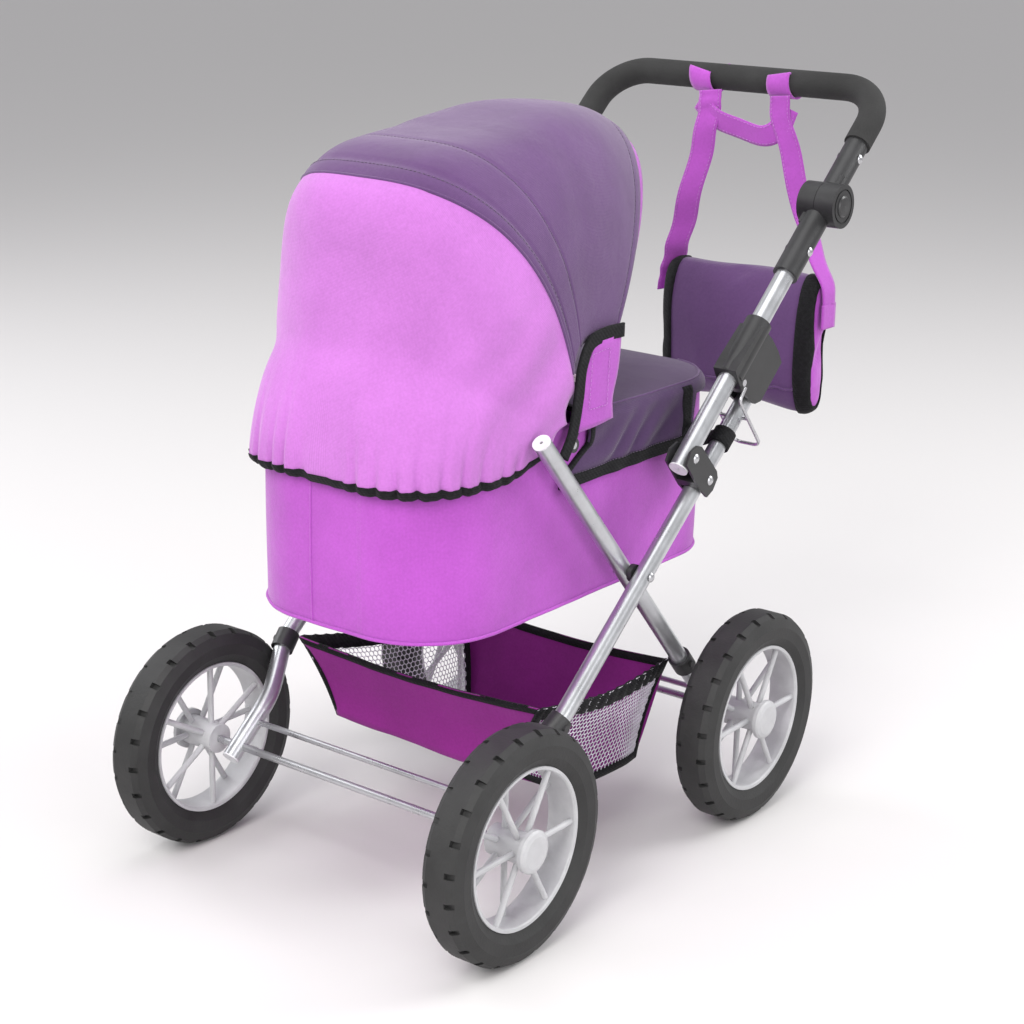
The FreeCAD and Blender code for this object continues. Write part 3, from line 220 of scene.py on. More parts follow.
look = {
    "violet": fabric("violet_cloth", VIOLET),
    "violet_free": fabric("violet_cloth_free", VIOLET, on_uv=False),
    "violet_hood": fabric("violet_hood_highlit_cloth", HIGHLIT_VIOLET),
    "violet_basket": fabric("violet_basket_cloth", SHADED_VIOLET, sheen=0.10),
    "purple": fabric("purple_cloth", PURPLE, sheen=0.28),
    "purple_apron": fabric("purple_apron_shaded_cloth", SHADED_APRON_PURPLE, sheen=0.22),
    "purple_free": fabric("purple_cloth_free", PURPLE, on_uv=False, sheen=0.28),
    "lining": fabric("lining_cloth", (0.42, 0.08, 0.50)),
    "mattress": fabric("mattress_cloth", (0.62, 0.52, 0.68), on_uv=False),
    "black_tape": webbing("black_tape", BLACK),
    "net": plastic("net_thread", (0.62, 0.60, 0.66), 0.6),
    "thread": fabric("sewing_thread", (0.55, 0.20, 0.62), on_uv=False),
    "dark_thread": fabric("dark_thread", (0.10, 0.06, 0.13), on_uv=False),
    "pale_thread": fabric("pale_thread", (0.80, 0.62, 0.72), pitch=0.0007, on_uv=False),
    "tube": metal("silver_paint", (0.52, 0.53, 0.55), 0.30),
    "rod": metal("plated_wire", (0.50, 0.50, 0.52), 0.28, streaks=False),
    "hoop": plastic("hoop_paint", (0.03, 0.03, 0.033), 0.4),
    "plastic": plastic("black_moulding", (0.016, 0.016, 0.017), 0.42, wear=1.8),
    "plug": plastic("grey_plug", (0.62, 0.62, 0.64), 0.5),
    "button": plastic("button_moulding", (0.02, 0.02, 0.021), 0.34, grain=500, wear=1.6, coat=0.2),
    "foam": plastic("foam_sleeve", (0.016, 0.016, 0.016), 0.85, grain=650, depth=0.0012, wear=1.7),
    "tyre": plastic("tyre_foam", (0.014, 0.014, 0.014), 0.62, grain=420, depth=0.0006, wear=1.9),
    "rim": plastic("rim_moulding", (0.50, 0.50, 0.515), 0.42, wear=1.12),
    "board": plastic("board_face", (0.16, 0.14, 0.17), 0.8),
}

NODE_LOOKS = {
    "tube": ["front_tube_left", "front_tube_right", "rear_tube_left", "rear_tube_right", "upper_tube_left",
             "upper_tube_right", "handle_tube"],
    "rod": ["front_axle", "rear_axle", "front_cross_rod", "rear_cross_rod", "link_rivets", "pivot_rivets",
            "handle_rivets", "upper_frame_rivets", "hood_hinge_pins", "lock_bail_left", "lock_bail_right"],
    "hoop": ["hood_hoop"],
    "plastic": ["link_bracket_left", "link_bracket_right", "pivot_spacers", "basket_clips_front",
                "basket_clips_rear", "lock_housing_left", "lock_housing_right", "hinge_socket_left",
                "hinge_socket_right", "hinge_arm_left", "hinge_arm_right"],
    "plug": ["front_tube_plugs", "rear_leg_plugs", "upper_tube_plugs"],
    "button": ["hinge_button_left", "hinge_button_right"],
    "foam": ["foam_grip"],
    "board": ["carrycot_board"],
}
for wheel in ("front_left", "front_right", "rear_left", "rear_right"):
    NODE_LOOKS.setdefault("tyre", []).append("tyre_" + wheel)
    NODE_LOOKS.setdefault("rim", []).append("rim_" + wheel)
    NODE_LOOKS["rim"].append("hub_cap_" + wheel)


def dress(node_object, material):
    """A CAD node keeps its shape and gets its material."""
    mesh = node_object.data
    mesh.materials.clear()
    mesh.materials.append(material)
    for polygon in mesh.polygons:
        polygon.material_index = 0


for look_name, names in NODE_LOOKS.items():
    for name in names:
        dress(nodes[name], look[look_name])


# ------------------------------------------------------------------ mesh builders
# How thick each cloth and tape is.
HOOD_CLOTH, CANOPY_CLOTH, LINING_CLOTH, TAB_CLOTH = 0.0014, 0.0016, 0.0008, 0.0018
APRON_CLOTH, BASKET_CLOTH, FELT = 0.0022, 0.0016, 0.0007
WEBBING, THICK_WEBBING = 0.0016, 0.0018
THIN_TAPE, NET_TAPE, HEM_TAPE, APRON_TAPE = 0.0024, 0.0030, 0.0034, 0.0040


def make_object(name, points, faces, material, uvs=None):
    mesh = bpy.data.meshes.new(name)
    mesh.from_pydata([tuple(p) for p in points], [], faces)
    mesh.materials.append(material)
    mesh.polygons.foreach_set("use_smooth", [True] * len(mesh.polygons))
    if uvs is not None:
        layer = mesh.uv_layers.new(name="cloth")
        loops = np.empty(len(mesh.loops), int)
        mesh.loops.foreach_get("vertex_index", loops)
        layer.data.foreach_set("uv", np.asarray(uvs, float)[loops].ravel())
    mesh.update()
    piece = bpy.data.objects.new(name, mesh)
    bpy.context.scene.collection.objects.link(piece)
    return piece


def distances(line):
    """How far along a line each of its points lies, in metres."""
    return np.concatenate([[0], np.cumsum(np.linalg.norm(np.diff(line, axis=0), axis=1))])


def unit(vectors):
    return vectors / np.linalg.norm(vectors, axis=-1, keepdims=True)


def grid_uvs(grid):
    """Distances along a grid's middle row and middle column."""
    rows, columns = grid.shape[:2]
    return np.stack(np.meshgrid(distances(grid[rows // 2]), distances(grid[:, columns // 2])), -1)


def grid_faces(rows, columns, rows_meet, columns_meet):
    """Four-sided faces between rows of points, which may meet themselves each way round."""
    faces = []
    for row in range(rows if rows_meet else rows - 1):
        below = (row + 1) % rows
        for column in range(columns if columns_meet else columns - 1):
            after = (column + 1) % columns
            faces.append((row * columns + column, row * columns + after,
                          below * columns + after, below * columns + column))
    return faces


def end_caps(rows, columns):
    return [tuple(range(columns))[::-1], tuple((rows - 1) * columns + k for k in range(columns))]


def grid_object(name, grid, material, closed=False):
    """A sheet from rows of points, joined at the ends of its rows if it is closed."""
    faces = grid_faces(*grid.shape[:2], False, closed)
    return make_object(name, grid.reshape(-1, 3), faces, material, grid_uvs(grid).reshape(-1, 2))


def bake(piece):
    """The piece with its modifiers applied."""
    graph = bpy.context.evaluated_depsgraph_get()
    mesh = bpy.data.meshes.new_from_object(piece.evaluated_get(graph))
    piece.modifiers.clear()
    piece.data = mesh
    mesh.polygons.foreach_set("use_smooth", [True] * len(mesh.polygons))
    return piece


def sheet(name, grid, look_name, thickness):
    """A sheet of cloth of some thickness, centred on rows of points."""
    piece = grid_object(name, grid, look[look_name])
    solid = piece.modifiers.new("thickness", "SOLIDIFY")
    solid.thickness = thickness
    solid.offset = 0.0
    return bake(piece)


def normals_of(grid):
    """Unit normals of a grid of points."""
    down = np.gradient(grid, axis=0)
    across = np.gradient(grid, axis=1)
    normal = np.cross(across, down)
    size = np.linalg.norm(normal, axis=2, keepdims=True)
    return normal / np.maximum(size, 1e-12)


def push(grid, amount):
    return grid + normals_of(grid) * amount[..., None]


def field(grid, scale, seed=0.0, stretch=(1, 1, 1)):
    """Smooth noise in -1..1 at each point of a grid; scale is in cycles per metre."""
    flat = grid.reshape(-1, 3) * scale * np.array(stretch)
    values = [noise.noise(Vector(p) + Vector((seed, seed * 1.7, -seed))) for p in flat]
    return np.array(values).reshape(grid.shape[:2])


def tube(name, points, radius, material, sides=8, closed=False, squeeze=1.0, up=None):
    """A round or flattened tube along points."""
    points = np.asarray(points, float)
    tangents = np.gradient(points, axis=0)
    if closed:
        tangents = np.roll(points, -1, axis=0) - np.roll(points, 1, axis=0)
    tangents = unit(tangents)
    side = np.cross(tangents[0], (0, 0, 1) if up is None else up)
    if np.linalg.norm(side) < 1e-3:
        side = np.cross(tangents[0], (0, 1, 0))
    rings = []
    for point, tangent in zip(points, tangents):
        side = side - tangent * np.dot(side, tangent)
        side /= np.linalg.norm(side)
        other = np.cross(tangent, side)
        turns = np.linspace(0, 2 * math.pi, sides, endpoint=False)
        rings.append([point + radius * (math.cos(t) * side + squeeze * math.sin(t) * other) for t in turns])
    faces = grid_faces(len(points), sides, closed, True)
    if not closed:
        faces += end_caps(len(points), sides)
    return make_object(name, np.array(rings).reshape(-1, 3), faces, material)


def points_at(line, wanted):
    """Points at the wanted distances along a line."""
    reach = distances(line)
    return np.stack([np.interp(wanted, reach, line[:, k]) for k in range(3)], axis=1)


def resample(line, step):
    """Points evenly spaced along a line."""
    line = np.asarray(line, float)
    return points_at(line, np.arange(0, distances(line)[-1], step))


def smooth_line(points, count=60):
    """A smooth curve through a few points."""
    points = np.asarray(points, float)
    padded = np.vstack([2 * points[0] - points[1], points, 2 * points[-1] - points[-2]])
    result = []
    spans = len(points) - 1
    for k in np.linspace(0, spans - 1e-9, count):
        i = int(k)
        t = k - i
        a, b, c, d = padded[i:i + 4]
        result.append(0.5 * (2 * b + (c - a) * t + (2 * a - 5 * b + 4 * c - d) * t ** 2
                             + (3 * b - a - 3 * c + d) * t ** 3))
    return np.array(result)


def join(name, parts):
    """Several meshes as one piece."""
    target = parts[0]
    mesh = bmesh.new()
    materials = []
    for part in parts:
        offset = len(mesh.faces)
        mesh.from_mesh(part.data)
        mesh.faces.ensure_lookup_table()
        material = part.data.materials[0]
        if material not in materials:
            materials.append(material)
        for face in mesh.faces[offset:]:
            face.material_index = materials.index(material)
    data = bpy.data.meshes.new(name)
    mesh.to_mesh(data)
    mesh.free()
    for material in materials:
        data.materials.append(material)
    for part in parts[1:]:
        bpy.data.objects.remove(part)
    target.data = data
    target.name = name
    return target


def stitches(name, line, normal_lift, material, length=0.0028, gap=0.0016, radius=0.00035):
    """A row of short raised threads along a line."""
    dense = resample(line, 0.0008)
    per = max(2, int(length / 0.0008))
    skip = max(1, int(gap / 0.0008))
    parts = []
    index = 0
    while index + per < len(dense):
        run = dense[index:index + per + 1] + normal_lift
        parts.append(tube(name + "_t", [run[0], run[len(run) // 2] + normal_lift * 0.3, run[-1]], radius,
                          material, sides=4))
        index += per + skip
    return join(name, parts) if parts else None


def fasten(piece, body):
    """The piece rides on a body."""
    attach(piece, body)


# ------------------------------------------------------------------ hood
HOOD_PIVOT = mm(0, -110, 395)
HOOD_HALF = 0.1226
REACH = np.array([(50, 310), (56, 305), (66, 294), (77, 279), (87, 265), (95, 260), (104, 263), (114, 271),
                  (124, 267), (135, 229), (150, 197), (165, 188), (180, 190)], float)
ROUNDNESS = np.array([(50, 2.3), (56, 2.3), (90, 3.8), (120, 3.1), (150, 2.7), (165, 3.6),
                      (180, 3.9)], float)


def eased(table, keys):
    """Values from a table, smoothed over a few degrees so that no crease shows."""
    spread = np.linspace(-5, 5, 11)
    weights = np.exp(-(spread / 3.0) ** 2)
    weights /= weights.sum()
    keys = np.asarray(keys, float)
    total = np.zeros_like(keys)
    for shift, weight in zip(spread, weights):
        total += weight * np.interp(keys + shift, table[:, 0], table[:, 1])
    return total


def hood_surface(angle, around, inset=0.0):
    """Points on the hood from arrays of angle about the pivot and place around, in degrees."""
    reach = eased(REACH, angle) / 1000 - inset
    power = 2 / eased(ROUNDNESS, angle)
    turn = np.radians(around)
    cosine = np.cos(turn)
    x = -np.sign(cosine) * np.abs(cosine) ** power * (HOOD_HALF - inset)
    out = np.abs(np.sin(turn)) ** power * reach
    slope = np.radians(angle)
    return np.stack([x, HOOD_PIVOT[1] + np.cos(slope) * out, HOOD_PIVOT[2] + np.sin(slope) * out], -1)


def seam_angle(share):
    return 98 + 23 * np.sin(np.pi * np.clip(share, 0, 1)) ** 0.8


def hood_grid(low_angle, high_angle, low_reach, rows, columns, inset=0.0):
    """A panel of the hood between two borders, each a function of the share around."""
    share = np.linspace(0, 1, columns)
    fall = np.linspace(0, 1, rows)
    hem = np.array([low_reach(f) for f in fall])[:, None]
    around = hem + (180 - 2 * hem) * share[None]
    low = low_angle(share)[None]
    high = high_angle(share)[None]
    angle = low + (high - low) * fall[:, None]
    return hood_surface(angle, around, inset)


def flat_angle(value):
    return lambda share: np.full_like(share, float(value))


# The foot panel runs from the seam down to a gathered elastic hem.
HEM_DROP = 0.0095
front = hood_grid(seam_angle, flat_angle(180), lambda f: 2.2, 84, 200)
hem_row = front[-1]
centre = np.array([0, HOOD_PIVOT[1], 0])
drop = np.linspace(0, 1, 9)[1:]
skirt = []
for share in drop:
    ring = hem_row.copy()
    inward = ring - centre
    inward[:, 2] = 0
    inward /= np.linalg.norm(inward, axis=1, keepdims=True) + 1e-9
    ring -= inward * 0.0045 * share ** 2
    ring[:, 2] -= HEM_DROP * share
    skirt.append(ring)
front = np.concatenate([front, np.array(skirt)])
# The hem dips at the foot end and climbs towards the hinge at each side.
dip = 0.006 * np.clip((-front[..., 1] - 0.13) / 0.12, 0, 1)
climb = 0.019 * np.clip((front[..., 1] + 0.205) / 0.085, 0, 1) ** 1.3
near_hem = np.exp(-np.maximum(front[..., 2] - 0.390, 0) / 0.045)
front[..., 2] += (climb - dip) * near_hem
hem_length = distances(hem_row)
wander = np.array([noise.noise(Vector((s * 22, 3.1, 0))) for s in hem_length])
phase = 2 * np.pi * hem_length / 0.019 + 6.0 * wander
gather = (np.sin(phase) + 0.45 * np.sin(2 * phase + 1.0)) * (0.75 + 0.9 * wander)
height_above = np.linspace(1, 0, len(front))[:, None] * 0.26
forward = np.clip((-front[..., 1] - 0.15) / 0.08, 0, 1)
gather_reach = (0.028 + 0.020 * wander)[None]
held_by_elastic = 0.20 + 0.80 * np.clip(height_above / 0.016, 0, 1)
gather_fade = np.exp(-height_above / gather_reach) * forward * held_by_elastic
folds = field(front, 9, 2.0, (1, 1, 0.45)) * 0.0030
folds += field(front, 21, 5.0, (1, 0.6, 0.5)) * 0.0016
pulls = np.sin(field(front, 6, 8.0) * 5 + (front[..., 2] - front[..., 1] * 0.9) * 110)
side_corner = np.exp(-(((front[..., 1] + 0.155) / 0.07) ** 2 + ((front[..., 2] - 0.45) / 0.06) ** 2))
edge_fade = np.clip(np.linspace(0, 1, len(front)) / 0.06, 0, 1)[:, None]
front = push(front, -(gather[None] * 0.0044 * gather_fade + folds * edge_fade
                      + pulls * 0.0022 * side_corner * edge_fade))
# The foot panel takes the paler violet copy, a painted highlight.
hood_front = sheet("hood_foot_panel", front, "violet_hood", HOOD_CLOTH)
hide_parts("hood_front_panel")

hem_band = front[-7:]
tape = sheet("hood_hem_tape", hem_band, "black_tape", HEM_TAPE)
fasten(tape, "lower_frame")

# The canopy runs from the seam to the open edge, with a folded channel along each.
CANOPY_LOW = 56


def canopy_hem(share_down):
    return 14.2 - 9.6 * share_down


CANOPY_ROWS = 96
canopy = hood_grid(flat_angle(CANOPY_LOW), lambda s: seam_angle(s) + 1.0, canopy_hem, CANOPY_ROWS, 200)
down = np.linspace(0, 1, CANOPY_ROWS)
fall = down[:, None]
sag = np.sin(np.pi * fall) ** 1.5 * -0.0025
folds = field(canopy, 8, 11.0, (0.5, 1, 1)) * 0.0024 + field(canopy, 24, 4.0, (0.4, 1, 1)) * 0.0009
folds *= np.clip(np.sin(np.pi * fall) * 1.6, 0, 1)
channels = np.zeros(CANOPY_ROWS)
for line_at, width in ((0.045, 0.008), (0.93, 0.008), (0.77, 0.006)):
    channels -= 0.0011 * np.exp(-((down - line_at) / width) ** 2)
swell = 0.0012 * np.exp(-((down - 0.965) / 0.022) ** 2)
canopy = push(canopy, -(folds + sag) - channels[:, None] - swell[:, None])
hood_top = sheet("hood_canopy_sheet", canopy, "purple", CANOPY_CLOTH)
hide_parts("hood_canopy")

canopy_out = push(canopy, np.full(canopy.shape[:2], -0.0011))
threads = [stitches("canopy_thread", canopy_out[row, 6:-6], np.zeros(3), look["dark_thread"])
           for row in (4, 73, 90)]
canopy_thread = join("hood_canopy_stitches", threads)

visor = hood_grid(lambda s: 56.5 - 4.3 * np.sin(np.pi * s) ** 0.7, flat_angle(60), lambda f: 17.5,
                  10, 160, 0.0028)
visor_edge = sheet("hood_visor", visor, "violet", CANOPY_CLOTH)

lining = hood_grid(flat_angle(57), lambda s: seam_angle(s) - 1.0, canopy_hem, 30, 100, 0.0062)
lining_sheet = sheet("hood_lining", lining, "lining", LINING_CLOTH)

seam_line = hood_grid(lambda s: seam_angle(s) + 0.6, lambda s: seam_angle(s) + 1.0,
                      lambda f: 4.6, 2, 160, -0.0008)[0]
seam_cord = tube("hood_seam_piping", seam_line, 0.0013, look["purple_free"], sides=8)


def fold_with_hood(piece):
    """The piece's placement is baked into its mesh."""
    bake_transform(piece)


for piece in (hood_front, hood_top, visor_edge, lining_sheet, seam_cord, canopy_thread):
    fold_with_hood(piece)


# A stitched tab hangs from the hood at each side, edged with black tape.
def side_tab(side_name, side):
    outline_left = smooth_line([mm(0, -95, 481), mm(0, -106, 462), mm(0, -111, 436), mm(0, -113, 407)], 16)
    outline_right = smooth_line([mm(0, -53, 483), mm(0, -56, 452), mm(0, -63, 428), mm(0, -62, 411)], 16)
    grid = []
    for left, right in zip(outline_left, outline_right):
        grid.append([left + (right - left) * k for k in np.linspace(0, 1, 14)])
    grid = np.array(grid)
    grid[..., 0] = side * (0.1238 + 0.0012 * np.sin(np.linspace(0, math.pi, 14)))[None]
    grid[..., 0] += side * field(grid, 30, 3.0) * 0.0008
    panel = sheet("hood_tab_" + side_name, grid, "violet", TAB_CLOTH)
    fold_with_hood(panel)
    edge = smooth_line([mm(0, -50, 486), mm(0, -78, 486), mm(0, -98, 481), mm(0, -109, 462),
                        mm(0, -113, 436), mm(0, -120, 408), mm(0, -132, 389)], 60)
    edge[:, 0] = side * 0.1246
    run = unit(np.gradient(edge, axis=0))
    across = np.stack([np.zeros(len(edge)), -run[:, 2], run[:, 1]], 1)
    strip = [edge + across * offset for offset in np.linspace(-0.0060, 0.0060, 8)]
    tape_piece = sheet("hood_tab_tape_" + side_name, np.array(strip), "black_tape", THIN_TAPE)
    fold_with_hood(tape_piece)
    box_line = [mm(0, -97, 472), mm(0, -72, 474), mm(0, -74, 425), mm(0, -100, 425), mm(0, -97, 472)]
    line = resample(np.array(box_line), 0.001)
    line[:, 0] = side * 0.1262
    rows_of_thread = stitches("hood_tab_stitches_" + side_name, line, np.array([side * 0.0003, 0, 0]),
                              look["thread"])
    fold_with_hood(rows_of_thread)


SIDES = (("left", -1), ("right", 1))
for side_name, side in SIDES:
    side_tab(side_name, side)


# ------------------------------------------------------------------ carrycot
COT_FRONT, COT_REAR, COT_HALF = -0.286, 0.141, 0.115
COT_BOTTOM, COT_TOP = 0.252, 0.412


def plan_outline(half, front_y, rear_y, front_corner, rear_corner, count=240):
    """A rounded rectangle in plan, from the middle of the foot end and round, evenly spaced."""
    points = []
    for cx, cy, radius, start in (
            (half - front_corner, front_y + front_corner, front_corner, -90),
            (half - rear_corner, rear_y - rear_corner, rear_corner, 0),
            (-half + rear_corner, rear_y - rear_corner, rear_corner, 90),
            (-half + front_corner, front_y + front_corner, front_corner, 180)):
        for turn in np.radians(np.linspace(start, start + 90, 25)):
            points.append((cx + radius * math.cos(turn), cy + radius * math.sin(turn), 0))
    points = np.array(points + points[:1])
    return points_at(points, np.linspace(0, distances(points)[-1], count, endpoint=False))


def cot_ring(inset, z):
    ring = plan_outline(COT_HALF - inset, COT_FRONT + inset, COT_REAR - inset,
                        max(0.078 - inset, 0.01), max(0.068 - inset, 0.01))
    ring[:, 2] = z
    return ring


middle = np.array([0, (COT_FRONT + COT_REAR) / 2, 0])
profile = []
for share in (0.0, 0.4, 0.8, 0.97):
    ring = cot_ring(0.002, COT_BOTTOM)
    ring[:, :2] = middle[:2] + (ring[:, :2] - middle[:2]) * max(share, 0.01)
    profile.append(ring)
profile.append(cot_ring(0.0006, COT_BOTTOM + 0.001))
for share in np.linspace(0.01, 1, 40):
    profile.append(cot_ring(0, COT_BOTTOM + (COT_TOP - COT_BOTTOM) * share))
outer_rows = slice(4, len(profile))
profile.append(cot_ring(0.0022, COT_TOP + 0.0016))
profile.append(cot_ring(0.0045, COT_TOP - 0.0005))
for share in np.linspace(0.95, 0.05, 10):
    profile.append(cot_ring(0.005, COT_BOTTOM + 0.004 + (COT_TOP - COT_BOTTOM - 0.004) * share))
for share in (0.9, 0.4, 0.01):
    ring = cot_ring(0.006, COT_BOTTOM + 0.0045)
    ring[:, :2] = middle[:2] + (ring[:, :2] - middle[:2]) * share
    profile.append(ring)
cot = np.array(profile)
outer = cot[outer_rows]
level = np.linspace(0, 1, outer.shape[0])[:, None]
bulge = np.sin(np.pi * level) * 0.0012
soft = field(outer, 7, 21.0, (1, 1, 0.6)) * 0.0022 + field(outer, 19, 17.0, (1, 1, 0.4)) * 0.0008
pucker = np.exp(-level / 0.05) * field(outer, 60, 9.0, (1, 1, 0.1)) * 0.0009
fade = np.clip((1 - level) / 0.06, 0, 1)
radial = outer - middle
radial[..., 2] = 0
radial = unit(radial)
cot[outer_rows] = outer + radial * ((bulge + soft + pucker) * fade)[..., None]
cot_shell = bake(grid_object("cot_fabric", cot, look["violet"], closed=True))
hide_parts("carrycot_shell")
fasten(cot_shell, "lower_frame")


def cot_line(column, lift=0.0012):
    """A line up the cot's outer wall at one column."""
    line = cot[outer_rows][:, column]
    return line + radial[:, column] * lift


count = cot.shape[1]
for index, column in enumerate((int(count * 0.955), int(count * 0.405), int(count * 0.595))):
    seam = tube("cot_seam_%d" % index, cot_line(column, 0.0002), 0.0010, look["violet_free"], sides=6)
    fasten(seam, "lower_frame")
foot_line = cot[5] + radial[1] * 0.0003
welt = tube("cot_bottom_welt", foot_line, 0.0016, look["violet_free"], sides=8, closed=True)
fasten(welt, "lower_frame")


# ------------------------------------------------------------------ apron
APRON_FRONT, APRON_END = -0.128, 0.1405
APRON_HALF = 0.1187


def apron_half(y):
    """Half-width of the apron, drawn in round the cot's rear corners."""
    corner = 0.068
    start = COT_REAR - corner
    if y <= start:
        return APRON_HALF
    depth = min(y - start, corner)
    return APRON_HALF - corner + math.sqrt(max(corner ** 2 - depth ** 2, 0))


def apron_row(y, columns=96):
    """One cross-section of the apron, from the left skirt's edge over the top to the right."""
    half = apron_half(y)
    skirt_fall = 0.046 * np.clip((0.080 - y) / 0.006, 0, 1) + 0.004
    top = 0.4165
    low = top - 0.007 - skirt_fall
    crown = 0.0105 * (1 - (max(y - 0.06, 0) / 0.085) ** 2)
    points = []
    for z in np.linspace(low, top - 0.008, 18):
        points.append((-half, y, z))
    for turn in np.radians(np.linspace(0, 90, 9)[1:]):
        points.append((-half + 0.008 * (1 - math.cos(turn)), y, top - 0.008 + 0.008 * math.sin(turn)))
    for share in np.linspace(0, 1, columns // 2)[1:]:
        x = -(half - 0.008) * (1 - share)
        points.append((x, y, top + crown * (1 - (x / (half - 0.008)) ** 2) if half > 0.009 else top))
    mirror = [(-x, yy, z) for x, yy, z in points[:-1]][::-1]
    return np.array(points + mirror)


depths = list(np.linspace(APRON_FRONT, 0.0725, 70))
depths += [COT_REAR - 0.068 + 0.0675 * math.sin(t) for t in np.linspace(0.02, math.pi / 2, 34)]
cover = np.array([apron_row(y) for y in depths])
# The front edge leans back above the skirt's hem, out of the hoop's way.
lean = 0.038 * np.clip((cover[..., 2] - 0.370) / 0.022, 0, 1)
cover[..., 1] += lean * np.clip(1 - (cover[..., 1] - APRON_FRONT) / 0.12, 0, 1)
wrinkle = field(cover, 8, 31.0, (0.6, 1, 1)) * 0.0026 + field(cover, 20, 33.0, (0.5, 1, 1)) * 0.0010
skirt_zone = np.clip((0.4165 - cover[..., 2]) / 0.03, 0, 1) * np.clip((0.07 - cover[..., 1]) / 0.02, 0, 1)
flutes = np.sin((cover[..., 1] * 0.8 - cover[..., 2] * 1.0) * 150 + field(cover, 14, 7.0) * 4)
held_edge = np.clip((cover[..., 2] - 0.3660) / 0.012, 0.25, 1)
cover = push(cover, -(wrinkle * 0.8 - flutes * 0.0024 * skirt_zone) * held_edge)
# The apron takes the darker purple copy, a painted shade.
apron_sheet = sheet("apron_cover", cover, "purple_apron", APRON_CLOTH)
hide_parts("apron")
fasten(apron_sheet, "lower_frame")

# Tapes along both side hems, the front edge and both rear corners of the skirt.
SKIRT_ROWS, CORNER_ROWS = 70, slice(64, 70)
taped = (cover[:SKIRT_ROWS, :5], cover[:SKIRT_ROWS, -5:], cover[:4],
         cover[CORNER_ROWS, :22], cover[CORNER_ROWS, -22:])
apron_tape = join("apron_tape", [sheet("apron_tape", strip, "black_tape", APRON_TAPE) for strip in taped])
fasten(apron_tape, "lower_frame")
apron_threads = []
for column, way in ((4, -1), (-5, 1)):
    apron_threads.append(stitches("apron_thread", cover[:66, column] + mm(way * 2.3, 0, 0), np.zeros(3),
                                  look["dark_thread"]))
apron_thread = join("apron_stitches", apron_threads)
fasten(apron_thread, "lower_frame")
for side_name, column in (("left", 24), ("right", -25)):
    ridge = tube("apron_seam_" + side_name, cover[:100, column] + mm(0, 0, 1.2), 0.0010,
                 look["purple_free"], sides=6)
    fasten(ridge, "lower_frame")


# A plain five-petalled flower sewn on the apron.
FLOWER = mm(62, -18, 0)
petals = []
cover_tree = BVHTree.FromObject(apron_sheet, bpy.context.evaluated_depsgraph_get())


def on_apron(x, y, lift):
    """A point on the apron's top at a place in plan."""
    place, _, _, _ = cover_tree.ray_cast(Vector((x, y, 0.6)), Vector((0, 0, -1)))
    return np.array(place) + (0, 0, lift)


for petal in range(5):
    heading = math.radians(90 + 72 * petal)
    ahead = np.array([math.cos(heading), math.sin(heading)])
    beside = np.array([-ahead[1], ahead[0]])
    rows_of_petal = []
    for reach in np.linspace(0.0015, 0.0165, 9):
        half = 0.0052 * math.sqrt(max(math.sin(math.pi * (reach / 0.0172) ** 1.2), 0.02))
        line = []
        for place_across in np.linspace(-1, 1, 7):
            spot = FLOWER[:2] + ahead * reach + beside * half * place_across
            line.append(on_apron(spot[0], spot[1], 0.0006 + 0.0007 * (1 - place_across ** 2)))
        rows_of_petal.append(line)
    petals.append(sheet("petal", np.array(rows_of_petal), "pale_thread", FELT))
flower = join("apron_flower", petals)
fasten(flower, "lower_frame")


# ------------------------------------------------------------------ mattress
CLOTH_STEPS = 20


def inflate(piece, voxel, pressure, cap):
    """Remesh a closed form and puff it up a little with Cloth, never by more than cap."""
    remesh = piece.modifiers.new("remesh", "REMESH")
    remesh.mode = "VOXEL"
    remesh.voxel_size = voxel
    bake(piece)
    start = read_points(piece)
    cloth = piece.modifiers.new("cloth", "CLOTH")
    cloth.settings.quality = 5
    cloth.settings.use_pressure = True
    cloth.settings.uniform_pressure_force = pressure
    cloth.settings.effector_weights.gravity = 0
    scene = bpy.context.scene
    for step in range(1, CLOTH_STEPS + 1):
        scene.frame_set(step)
    bake(piece)
    move = read_points(piece) - start
    length = np.linalg.norm(move, axis=1, keepdims=True)
    write_points(piece, start + move * np.minimum(1, cap / np.maximum(length, 1e-9)))
    scene.frame_set(1)
    smooth = piece.modifiers.new("smooth", "SUBSURF")
    smooth.levels = 1
    smooth.render_levels = 1
    return bake(piece)


def read_points(piece):
    return np.array([v.co for v in piece.data.vertices])


def write_points(piece, points):
    piece.data.vertices.foreach_set("co", points.astype(np.float32).ravel())
    piece.data.update()


def closed_slab(name, rings, material):
    """A closed form from rings of points, capped at both ends."""
    rings = np.array(rings)
    count, sides = rings.shape[:2]
    faces = grid_faces(count, sides, False, True) + end_caps(count, sides)
    return make_object(name, rings.reshape(-1, 3), faces, material)


rings = []
for share in np.linspace(0, 1, 7):
    rings.append(cot_ring(0.014 - 0.004 * math.sin(math.pi * share), 0.2615 + 0.019 * share)[::4])
mattress = inflate(closed_slab("mattress_pad", rings, look["mattress"]), 0.006, 4.0, 0.005)
points = read_points(mattress)
for row_y in np.linspace(-0.22, 0.08, 6):
    groove = np.exp(-((points[:, 1] - row_y) / 0.006) ** 2) * 0.0022
    points[:, 2] -= groove * np.sign(points[:, 2] - 0.271)
write_points(mattress, points)
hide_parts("mattress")
fasten(mattress, "lower_frame")


# ------------------------------------------------------------------ basket
# Stations front to back: top (y, z), half-width there, floor (y, z), half-width there.
BASKET = [
    ((-175, 180), 137, (-160, 106), 104),
    ((-120, 168), 133, (-118, 82), 106),
    ((-60, 158), 129, (-62, 65), 106),
    ((0, 156), 125, (0, 59), 104),
    ((46, 158), 122, (31, 58), 100),
]


